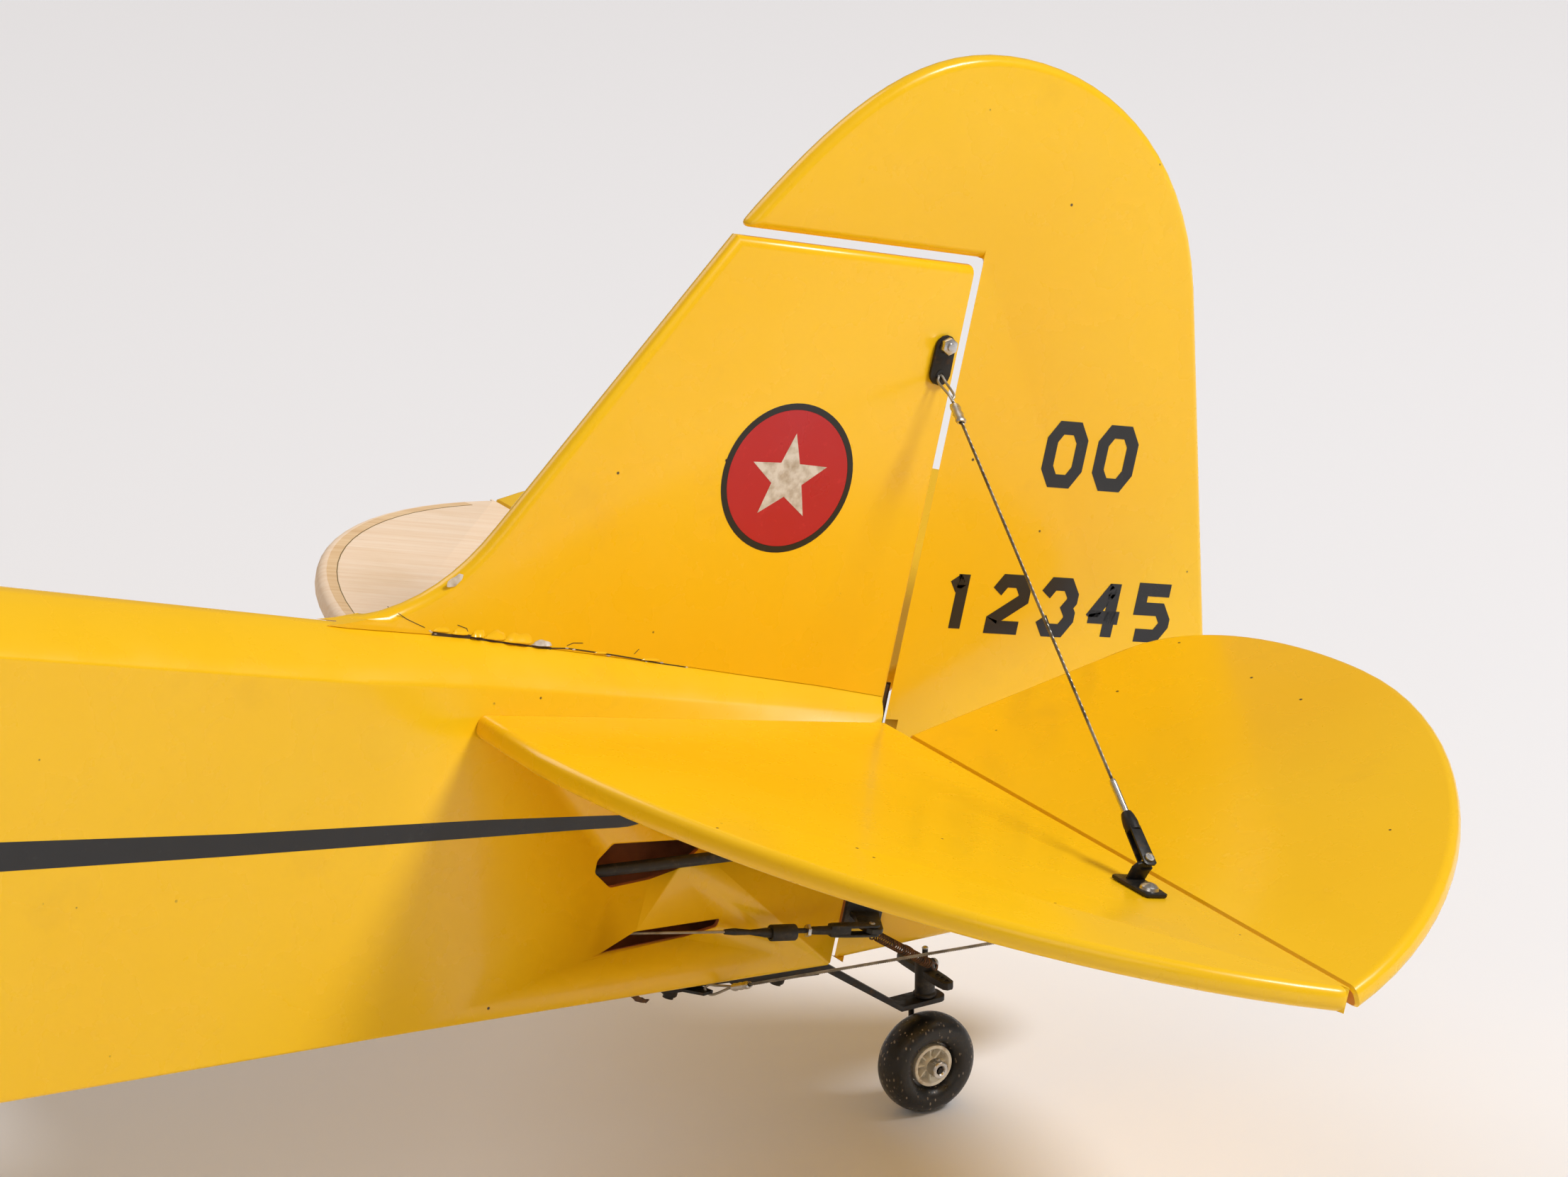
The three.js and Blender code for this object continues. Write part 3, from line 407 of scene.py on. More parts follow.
def flatPanels(bm):
    # Square millimetres: larger faces are flat panels.
    for face in bm.faces:
        face.smooth = face.calc_area() < 100


def soften(bm, width, segments=2, sharper=38, where=lambda middle, edge: True, clamp=True):
    edges = [
        edge for edge in bm.edges
        if edge.is_manifold and edge.calc_face_angle(0) > math.radians(sharper)
        and where((edge.verts[0].co + edge.verts[1].co) / 2, edge)
    ]
    rounded = bmesh.ops.bevel(
        bm, geom=edges, offset=width, segments=segments, profile=0.5, affect="EDGES", clamp_overlap=clamp,
        material=-1,
    )
    for face in rounded["faces"]:
        face.smooth = True


def reworked(node, look, body, width=0.4, segments=2, sharp=40, place=levelPlace):
    bm = copied(node, place)
    soften(bm, width, segments)
    return finishPiece(bm, pieceName(node), look, body, place, sharp, replaced=(node,), outward=False)


def aimed(start, end, roll=0.0):
    # Turns +Z towards end and stands the part on start.
    way = Vector(end) - Vector(start)
    turn = way.to_track_quat("Z", "Y").to_matrix().to_4x4()
    return Matrix.Translation(Vector(start)) @ turn @ Matrix.Rotation(roll, 4, "Z")


def joinIn(bm, part, place=None, number=0):
    if place is not None:
        bmesh.ops.transform(part, matrix=place, verts=part.verts)
    for face in part.faces:
        face.material_index = number
    bmesh.ops.recalc_face_normals(part, faces=part.faces)
    mesh = bpy.data.meshes.new("part")
    part.to_mesh(mesh)
    part.free()
    bm.from_mesh(mesh)
    bpy.data.meshes.remove(mesh)


def turnedPart(profile, steps=28, closed=False):
    # Spins pairs of distance along Z and radius.
    part = bmesh.new()
    verts = [part.verts.new((radius, 0, along)) for along, radius in profile]
    edges = [part.edges.new(pair) for pair in zip(verts, verts[1:])]
    if closed:
        edges.append(part.edges.new((verts[-1], verts[0])))
    bmesh.ops.spin(
        part, geom=verts + edges, cent=(0, 0, 0), axis=(0, 0, 1), angle=math.tau, steps=steps, use_merge=True,
    )
    bmesh.ops.remove_doubles(part, verts=part.verts, dist=1e-4)
    return part


def blockPart(low, high, soft=0.4):
    part = bmesh.new()
    bmesh.ops.create_cube(part, size=1)
    bmesh.ops.scale(part, vec=Vector(high) - Vector(low), verts=part.verts)
    bmesh.ops.translate(part, vec=(Vector(high) + Vector(low)) / 2, verts=part.verts)
    if soft:
        bmesh.ops.bevel(
            part, geom=part.edges, offset=soft, segments=2, profile=0.5, affect="EDGES", clamp_overlap=True,
            material=-1,
        )
    return part


def platePart(outline, thickness, soft=0.3, segments=2):
    # An outline on XY raised to +Z, with softened edges.
    part = bmesh.new()
    face = part.faces.new([part.verts.new((x, y, 0)) for x, y in outline])
    raised = bmesh.ops.extrude_face_region(part, geom=[face])["geom"]
    bmesh.ops.translate(part, vec=(0, 0, thickness), verts=[v for v in raised if isinstance(v, bmesh.types.BMVert)])
    part.normal_update()
    if soft:
        rims = [
            e
            for e in part.edges if e.is_manifold and e.calc_face_angle(0) > 0.7 and abs(
                e.verts[0].co.z - e.verts[1].co.z
            ) < 1e-4
        ]
        bmesh.ops.bevel(
            part, geom=rims, offset=soft, segments=segments, profile=0.5, affect="EDGES", clamp_overlap=True,
            material=-1,
        )
    return part


def coilPart(radius, wire, length, turns, perTurn=14, sides=6):
    part = bmesh.new()
    bmesh.ops.create_circle(part, cap_ends=False, segments=sides, radius=wire)
    bmesh.ops.rotate(part, cent=(0, 0, 0), matrix=Matrix.Rotation(math.pi / 2, 3, "X"), verts=part.verts)
    bmesh.ops.translate(part, vec=(radius, 0, 0), verts=part.verts)
    steps = round(turns * perTurn)
    bmesh.ops.spin(
        part, geom=part.verts[:] + part.edges[:], cent=(0, 0, 0), axis=(0, 0, 1), dvec=(0, 0, length / steps),
        angle=math.tau * turns, steps=steps,
    )
    bmesh.ops.holes_fill(part, edges=[edge for edge in part.edges if edge.is_boundary], sides=0)
    return part


def smoothPath(points, spread):
    points = [Vector(point) for point in points]
    ends = [points[0] * 2 - points[1]] + points + [points[-1] * 2 - points[-2]]
    path = []
    for a, b, c, d in zip(ends, ends[1:], ends[2:], ends[3:]):
        for k in range(spread):
            t = k / spread
            path.append(
                0.5 * (
                    2 * b + (c - a) * t + (2 * a - 5 * b + 4 * c - d) * t ** 2 + (3 * b - a - 3 * c + d) * t ** 3
                )
            )
    return path + [points[-1]]


def tubePart(points, radius, spread=6, sides=10, radii=None):
    # A round bar through the points, made as a curve and then a mesh.
    path = smoothPath(points, spread)
    curve = bpy.data.curves.new("bar", "CURVE")
    curve.dimensions = "3D"
    spline = curve.splines.new("POLY")
    spline.points.add(len(path) - 1)
    for k, (point, place) in enumerate(zip(spline.points, path)):
        point.co = (*place, 1)
        if radii:
            at = k / (len(path) - 1) * (len(radii) - 1)
            low = min(int(at), len(radii) - 2)
            point.radius = radii[low] + (radii[low + 1] - radii[low]) * (at - low)
    curve.bevel_depth = radius
    curve.bevel_resolution = max(0, sides // 2 - 2)
    curve.use_fill_caps = True
    holder = bpy.data.objects.new("bar", curve)
    mesh = bpy.data.meshes.new_from_object(holder)
    part = bmesh.new()
    part.from_mesh(mesh)
    bmesh.ops.remove_doubles(part, verts=part.verts, dist=1e-4)
    bpy.data.objects.remove(holder)
    bpy.data.curves.remove(curve)
    bpy.data.meshes.remove(mesh)
    return part


def cablePart(length, radius, pitch=8.0):
    # Six strands laid round a core.
    part = bmesh.new()
    strand = radius * 0.34
    for k in range(6):
        joinIn(
            part, coilPart(radius - strand, strand, length, length / pitch, 8, 5),
            Matrix.Rotation(math.tau * k / 6, 4, "Z")
        )
    joinIn(part, turnedPart([(0, 0), (0, radius * 0.5), (length, radius * 0.5), (length, 0)], 8))
    return part


def crimpPart():
    # A pinched sleeve, waisted twice where the pliers closed on it.
    return turnedPart(
        [(0, 1.0), (0.2, 1.6), (1.2, 1.9), (3, 1.55), (5, 1.9), (6.6, 1.55), (8.6, 1.9), (10.6, 1.6), (11, 1.0)], 20
    )


def capHead(radius, height):
    socket = radius * 0.5
    return turnedPart([
        (0, 0), (0, radius), (height * 0.85, radius), (height, radius * 0.88), (height, socket),
        (height * 0.4, socket), (height * 0.4, 0),
    ], 20)


def roundHead(radius, height):
    part = turnedPart([(0, 0), (0, radius), (height * 0.45, radius * 0.92), (height * 0.8, radius * 0.62),
                       (height, radius * 0.2), (height, 0)], 20)
    return part


def hexNut(across, height):
    part = bmesh.new()
    bmesh.ops.create_cone(
        part, cap_ends=True, segments=6, radius1=across / 1.732, radius2=across / 1.732, depth=height
    )
    bmesh.ops.translate(part, vec=(0, 0, height / 2), verts=part.verts)
    bmesh.ops.bevel(
        part, geom=part.edges, offset=height * 0.12, segments=2, profile=0.5, affect="EDGES", clamp_overlap=True,
        material=-1,
    )
    joinIn(
        part,
        turnedPart(
            [(height * 0.2, 0), (height * 0.2, across * 0.26), (height * 1.35, across * 0.26), (height * 1.45, 0)],
            14
        )
    )
    return part


def ribbonPart(points, width, thickness, closed=False):
    # A flat mitred stroke on XY along the points.
    part = bmesh.new()
    points = [Vector(point) for point in points]
    count = len(points)
    rims = ([], [])
    for k, here in enumerate(points):
        before = points[k - 1] if closed or k else here * 2 - points[1]
        after = points[(k + 1) % count] if closed or k < count - 1 else here * 2 - points[k - 1]
        ways = [(here - before).normalized(), (after - here).normalized()]
        sides = [Vector((-way.y, way.x)) for way in ways]
        mitre = (sides[0] + sides[1]).normalized()
        reach = min(width / 2 / max(mitre.dot(sides[0]), 0.3), width)
        for rim, sign in zip(rims, (1, -1)):
            rim.append(part.verts.new((*(here + mitre * reach * sign), 0)))
    edges = []
    for rim in rims:
        pairs = list(zip(rim, rim[1:])) + ([(rim[-1], rim[0])] if closed else [])
        edges += [part.edges.new(pair) for pair in pairs]
    bmesh.ops.bridge_loops(part, edges=edges)
    bmesh.ops.recalc_face_normals(part, faces=part.faces)
    raised = bmesh.ops.extrude_face_region(part, geom=part.faces[:])["geom"]
    bmesh.ops.translate(part, vec=(0, 0, thickness), verts=[v for v in raised if isinstance(v, bmesh.types.BMVert)])
    return part


def halfWidthAt(x):
    return min(82.5, 9.2 + 0.073 * (-3 - x))


def sidePlace(side, lift=0.0):
    # A flat mark drawn as (x, z) lies on the tapering side of the fuselage. Port is -1.
    slope = math.atan(0.073)
    foot = Vector((-3, side * (9.2 + lift), 0))
    along = Vector((math.cos(slope), -side * math.sin(slope), 0))
    upward = Vector((0, 0, 1))
    out = along.cross(upward)
    return Matrix.Translation(foot) @ Matrix((along, upward, out)).transposed().to_4x4()


def onSide(x):
    # Distance along the tapering side for a station of the fuselage.
    return (x + 3) * math.hypot(1, 0.073)


def buildFuselage(looks):
    shape = {"longeronRadius": 6.5, "cornerRadius": 2.6, "openingRadius": 0.35, "slotRadius": 3.2}
    bm = copied("fuselage")
    flatPanels(bm)
    for rad, low, high in ((shape["longeronRadius"], 0, 60), (shape["cornerRadius"], -240, -100)):
        soften(
            bm, rad, 6, 30, lambda middle,
            edge: edge.calc_length() > 45 and middle.x > -880 and low < middle.z < high and abs(
                abs(middle.y) - halfWidthAt(middle.x)
            ) < 1.2
        )
    soften(
        bm, shape["slotRadius"], 4, 12, lambda middle,
        edge: -150 < middle.x < -60 and abs((edge.verts[0].co - edge.verts[1].co).normalized().y) > 0.9
    )
    soften(bm, shape["openingRadius"], 1, 60, lambda middle, edge: edge.calc_length() < 45)
    bmesh.ops.triangulate(bm, faces=bm.faces[:])
    # Faces that look at another wall of the shell are the bare inside.
    bm.normal_update()
    tree = BVHTree.FromBMesh(bm)
    for face in bm.faces:
        start = face.calc_center_median() + face.normal * 0.05
        hit = tree.ray_cast(start, face.normal, 400)[0]
        face.material_index = 1 if hit is not None and start.x < -4 else 0
    finishPiece(
        bm, "fuselageSkin", [looks["film"], looks["inside"]], "airframe", replaced=("fuselage",), outward=False,
        panels=True
    )

    stripe = {
        "lift": 0.12,
        "stations": [
            (-130.4, -44, -44.5), (-136, -42, -45.8), (-141.5, -40.4, -46.3), (-160, -41, -47.3), (-213, -43, -51),
            (-343, -50, -60), (-457, -54, -67), (-640, -61, -78), (-820, -67, -90), (-1000, -72, -102),
        ]
    }
    for side in (-1, 1):
        bm = bmesh.new()
        rims = [
            [bm.verts.new((onSide(x), z, 0)) for x, z in ((station[0], station[k]) for station in stripe["stations"])]
            for k in (1, 2)
        ]
        edges = [bm.edges.new(pair) for rim in rims for pair in zip(rim, rim[1:])]
        bmesh.ops.bridge_loops(bm, edges=edges)
        raised = bmesh.ops.extrude_face_region(bm, geom=bm.faces[:])["geom"]
        lifted = [v for v in raised if isinstance(v, bmesh.types.BMVert)]
        bmesh.ops.translate(bm, vec=(0, 0, -side * stripe["lift"]), verts=lifted)
        finishPiece(bm, "sideStripe" + sideName(side), looks["trim"], "airframe", levelPlace @ sidePlace(side))
    print("fuselage ready")


def sideName(side):
    return "Left" if side < 0 else "Right"


def nodeSide(side):
    return "_left" if side < 0 else "_right"


def buildTailPlates(looks):
    rim = {
        "radius": 4.4, "segments": 5, "hingeBevel": 1.5, "fixedBevel": 0.7, "strip": 5.0, "glueLine": 0.5,
        "hingeReach": 2.6, "shadeAndWearReach": 3.0, "finFoot": 40, "tailplaneRoot": 31,
    }
    plates = [
        ("fin", "film", "airframe", levelPlace),
        ("rudder", "film", "rudder", levelPlace),
        ("stabiliser_left", "film", "airframe", levelPlace),
        ("stabiliser_right", "balsa", "airframe", levelPlace),
        ("elevator_left", "film", "elevator", elevatorPlace),
        ("elevator_right", "film", "elevator", elevatorPlace),
    ]
    for node, look, body, place in plates:
        bm = copied(node, place)
        flatPanels(bm)
        moving = body != "airframe"

        def atHinge(middle):
            return abs(middle.x) < rim["hingeReach"]

        def outer(middle, edge):
            if atHinge(middle) and abs(edge.verts[0].co.x - edge.verts[1].co.x) < 1.5:
                return False
            if node == "fin":
                return middle.z > rim["finFoot"]
            if node == "rudder":
                return middle.x > 9.5 or middle.z > 20 or middle.z < -100
            if node.startswith("stab"):
                return abs(middle.y) > rim["tailplaneRoot"]
            return True

        soften(bm, rim["radius"], rim["segments"], 60, outer, False)
        bevel, rounds = (rim["hingeBevel"], 1) if moving else (rim["fixedBevel"], 2)
        soften(bm, bevel, rounds, 60, lambda middle, edge: atHinge(middle))
        numbers = [looks[look]]
        if moving:
            numbers.append(looks["worn"])
            # Hinge faces turned forward take the darker film: painted shade, with rub wear.
            for face in bm.faces:
                if abs(face.calc_center_median().x) < rim["shadeAndWearReach"] and face.normal.x < -0.75:
                    face.material_index = 1
        if look == "balsa":
            top = max((face for face in bm.faces if face.normal.z > 0.9), key=lambda face: face.calc_area())
            corners = [vert.co.copy() for vert in top.verts]
            for number, (lookName, inward, wide) in enumerate(
                (("strip", rim["strip"] / 2, rim["strip"]), ("joint", rim["strip"], rim["glueLine"]))
            ):
                line = []
                for before, here, after in zip(corners[-1:] + corners, corners, corners[1:] + corners[:1]):
                    way = (after - before).normalized()
                    if here.x < -14 and here.y > 40:
                        line.append((here.x - way.y * inward, here.y + way.x * inward))
                line.sort(key=lambda point: point[1])
                strip = bmesh.new()
                joinIn(strip, ribbonPart(line, wide, 0.06 + 0.02 * number), Matrix.Translation((0, 0, corners[0].z)))
                finishPiece(strip, "balsaEdge" + lookName.capitalize(), looks[lookName], body, place)
        finishPiece(bm, pieceName(node), numbers, body, place, 30, replaced=(node,), outward=False, panels=True)
    print("tail surfaces ready")


def buildWings(looks):
    wing = {"bay": 73.07, "lastRib": 1180, "sag": 2.1, "fore": 0.3, "aft": 0.78}
    for side in (-1, 1):
        for node, body, sag in (("wing", "airframe", wing["sag"]), ("aileron", "aileron" + nodeSide(side), 0.9)):
            bm = copied(node + nodeSide(side))
            inner = min(abs(v.co.y) for v in bm.verts)
            outer = min(wing["lastRib"], max(abs(v.co.y) for v in bm.verts))
            bays = max(1, round((outer - inner) / wing["bay"]))
            cuts = 4
            for k in range(1, bays * cuts):
                plane = inner + (outer - inner) * k / (bays * cuts)
                bmesh.ops.bisect_plane(
                    bm, geom=bm.verts[:] + bm.edges[:] + bm.faces[:], plane_co=(0, side * plane, 0),
                    plane_no=(0, 1, 0),
                )
            for vert in bm.verts:
                across = (abs(vert.co.y) - inner) / (outer - inner) * bays
                share = (vert.co.x + 1230) / 400
                low, high = (wing["fore"], wing["aft"]) if node == "wing" else (0.82, 0.985)
                if low < share < high and 0 < across < bays:
                    dip = math.sin(math.pi * (across % 1)) * math.sin(math.pi * (share - low) / (high - low)) ** 0.5
                    middle = 80 - 10 * share + 400 * 0.035 / 0.36 * (0.2 + 0.8 * share - share ** 2)
                    vert.co.z += sag * dip * (-1 if vert.co.z > middle else 1)
            finishPiece(
                bm, pieceName(node + nodeSide(side)), looks["film"], body, sharp=28,
                replaced=(node + nodeSide(side),), outward=False,
            )
        reworked("wing_strut" + nodeSide(side), looks["film"], "airframe", 0.5, 2, 48)
    print("wings ready")


def buildNose(looks):
    film, steel = looks["film"], looks["steel"]
    reworked("engine_cowl", film, "airframe", 0.8, 2)
    reworked("engine_crankcase", looks["aluminium"], "airframe", 1.2, 2)
    bank = {"stations": (-1419, -1374), "finRadius": 17.6, "barrel": 12.5, "fins": 13}
    for side in (-1, 1):
        bm = bmesh.new()
        for x in bank["stations"]:
            profile = [(24.6, 0), (24.6, bank["barrel"])]
            for k in range(bank["fins"]):
                y = 27 + k * 4.7
                profile += [
                    (y, bank["barrel"]), (y + 0.5, bank["finRadius"]), (y + 1.9, bank["finRadius"]),
                    (y + 2.4, bank["barrel"])
                ]
            profile += [(88, 11), (98, 11), (99.8, 9), (99.8, 0)]
            joinIn(bm, turnedPart(profile, 36), aimed((x, 0, -128), (x, side, -128)))
            joinIn(bm, hexNut(8, 5), aimed((x - 6, side * 88, -114), (x - 6, side * 94, -110)))
        joinIn(bm, blockPart((-1438, 40, -112), (-1354, 92, -109), 0.6), Matrix.Scale(side, 4, (0, 1, 0)))
        finishPiece(
            bm, "cylinderBank" + sideName(side), steel, "airframe", replaced=("cylinder_bank" + nodeSide(side),)
        )

    bm = copied("propeller", propellerPlace)
    finishPiece(
        bm, "propellerBlades", looks["wood"], "propeller", propellerPlace, 50, replaced=("propeller",),
        outward=False
    )
    boss = {"plate": 16.5, "bolts": 6, "boltCircle": 11.5}
    bm = bmesh.new()
    joinIn(
        bm,
        turnedPart(
            [(0, 8.4), (0, boss["plate"]), (1.6, boss["plate"]), (2.2, boss["plate"] - 0.8), (2.2, 8.4)], 36, True
        ),
        aimed((-11, 0, 0), (-12, 0, 0))
    )
    for k in range(boss["bolts"]):
        turn = math.tau * k / boss["bolts"]
        y, z = boss["boltCircle"] * math.cos(turn), boss["boltCircle"] * math.sin(turn)
        joinIn(bm, capHead(2.1, 3.4), aimed((-13.1, y, z), (-14, y, z)))
    finishPiece(bm, "propellerPlate", looks["aluminium"], "propeller", propellerPlace)
    print("nose ready")


def buildCabin(looks):
    reworked("windshield", looks["glazing"], "airframe", 0.2, 1)
    for side in (-1, 1):
        reworked("cabin_window" + nodeSide(side), looks["glazing"], "airframe", 0.3, 1)
    reworked("instrument_panel", looks["nylon"], "airframe", 0.8, 2)
    reworked("fuel_tank", looks["tank"], "airframe", 7, 4)
    reworked("radio_tray", looks["balsa"], "airframe", 0.6, 2)
    reworked("elevator_servo_arm", looks["cream"], "elevator_servo_arm", 0.5, 2)
    reworked("rudder_servo_arm", looks["cream"], "rudder_servo_arm", 0.5, 2)

    trim = {"frameWidth": 5.0, "frameDepth": 0.9, "seamWidth": 1.1}
    pane = [(-1212, -60), (-1186, 62), (-930, 70), (-886, 40), (-940, -58)]
    door = [(-1220, -214), (-1224, -66), (-1062, -66), (-1062, -190), (-1100, -214)]
    for side in (-1, 1):
        for name, outline, width, look in (
            ("windowFrame", pane, trim["frameWidth"], "trim"), ("doorSeam", door, trim["seamWidth"], "seam"),
        ):
            bm = bmesh.new()
            joinIn(bm, ribbonPart(outline, width, trim["frameDepth"] if width > 2 else 0.12, True))
            turn = Matrix.Rotation(math.pi / 2, 4, "X")
            place = Matrix.Translation((0, side * 82.55, 0)) @ (
                turn if side < 0 else Matrix.Scale(-1, 4, (0, 1, 0)) @ turn
            )
            finishPiece(bm, name + sideName(side), looks[look], "airframe", levelPlace @ place)

    dials = {
        "places": [(-46, -88), (-22, -84), (0, -84), (22, -84), (46, -88), (-34, -104), (0, -106), (34, -104)],
        "radius": 8.5
    }
    bm = bmesh.new()
    for y, z in dials["places"]:
        place = aimed((-1286, y, z), (-1285, y, z))
        rim = [
            (0, dials["radius"] * 0.82), (0, dials["radius"]), (1.2, dials["radius"]), (1.2, dials["radius"] * 0.82)
        ]
        joinIn(bm, turnedPart(rim, 28, True), place)
        joinIn(
            bm, blockPart((-0.3, -1.5, 0), (0.3, dials["radius"] * 0.7, 0.35), 0),
            place @ Matrix.Rotation(y * 0.09, 4, "Z")
        )
        for k in range(12):
            tick = place @ Matrix.Rotation(math.tau * k / 12, 4, "Z")
            joinIn(bm, blockPart((-0.2, dials["radius"] * 0.66, 0), (0.2, dials["radius"] * 0.8, 0.25), 0), tick)
    finishPiece(bm, "panelDials", looks["cream"], "airframe")
    print("cabin ready")


def buildGear(looks):
    for side in (-1, 1):
        reworked("gear_leg" + nodeSide(side), looks["film"], "airframe", 0.5, 2, 42)
        reworked("shock_strut" + nodeSide(side), looks["steel"], "airframe", 1.0, 2, 42)
        body = "main_wheel" + nodeSide(side)
        place = wheelPlace(body + "_spin")
        buildWheel(
            {
                "radius": 57, "half": 21, "seat": 28.3, "hubHalf": 15.5, "bore": 4.4, "boss": 8.4, "spokes": 8,
                "spokeWidth": 4.2
            },
            looks, body, place, "main", nodeSide(side),
        )
        bm = bmesh.new()  # collar that keeps the wheel on its axle
        centre = Vector(joints[body + "_spin"]["pos_m"]) * 1000
        joinIn(
            bm, turnedPart([(16.2, 4.1), (16.2, 8), (16.8, 8.6), (22.4, 8.6), (23, 8), (23, 4.1)], 28, True),
            aimed(centre, centre + Vector((0, side, 0)))
        )
        joinIn(
            bm, capHead(1.6, 2.2),
            aimed(centre + Vector((0, side * 19.6, 8.2)), centre + Vector((0, side * 19.6, 10)))
        )
        finishPiece(bm, "mainCollar" + sideName(side), looks["aluminium"], "airframe", toMetres)
    reworked("gear_cabane", looks["steel"], "airframe", 0.4, 1, 42)
    print("landing gear ready")


def buildWheel(size, looks, body, place, name, suffix):
    radius, half, seat = size["radius"], size["half"], size["seat"]
    # Tyre: rounded tread, a moulding line on each shoulder and a bead at the rim.
    depth = (radius - seat) / 2
    profile = []
    for k in range(25):
        turn = -0.8 * math.pi + 1.6 * math.pi * k / 24
        squash = 0.93 if abs(turn) < 0.5 else 1.0
        along = half * math.sin(turn) * (0.98 if squash < 1 else 1)
        profile.append((along, seat + depth * (1 + math.copysign(abs(math.cos(turn)) ** 0.82, math.cos(turn)))))
    bm = bmesh.new()
    joinIn(bm, turnedPart(profile, 72, True))
    tyre = finishPiece(
        bm, name + "Tyre" + suffix.replace("_", "").capitalize(), looks["rubber"], body, place,
        replaced=(name + "_tyre" + suffix,)
    )
    # Hub: a rim and boss joined by a thin web with spokes on both faces.
    bm = bmesh.new()
    hubHalf, boss, bore = size["hubHalf"], size["boss"], size["bore"]
    lip, floorHalf = seat - 1.3, hubHalf * 0.08
    joinIn(
        bm,
        turnedPart(
            [
                (-hubHalf, seat - 0.2), (hubHalf, seat - 0.2), (hubHalf + 0.3, seat - 0.6),
                (hubHalf, lip - seat * 0.05), (hubHalf * 0.55, lip - seat * 0.1), (floorHalf, lip - seat * 0.13),
                (floorHalf, boss + 0.4), (hubHalf * 0.86, boss), (hubHalf * 0.92, boss - 0.4),
                (hubHalf * 0.92, bore), (-hubHalf * 0.92, bore), (-hubHalf * 0.92, boss - 0.4),
                (-hubHalf * 0.86, boss), (-floorHalf, boss + 0.4), (-floorHalf, lip - seat * 0.13),
                (-hubHalf * 0.55, lip - seat * 0.1), (-hubHalf, lip - seat * 0.05), (-hubHalf - 0.3, seat - 0.6),
            ],
            48, True
        )
    )
    for k in range(size["spokes"]):
        width = size["spokeWidth"] / 2
        spoke = blockPart(
            (boss * 0.8, -width, -hubHalf * 0.62), (lip - seat * 0.06, width, hubHalf * 0.62), width * 0.4
        )
        joinIn(bm, spoke, Matrix.Rotation(math.tau * k / size["spokes"], 4, "Z"))
    hub = finishPiece(
        bm, name + "Hub" + suffix.replace("_", "").capitalize(), looks["cream"], body, place,
        replaced=(name + "_hub" + suffix,)
    )
    return tyre, hub


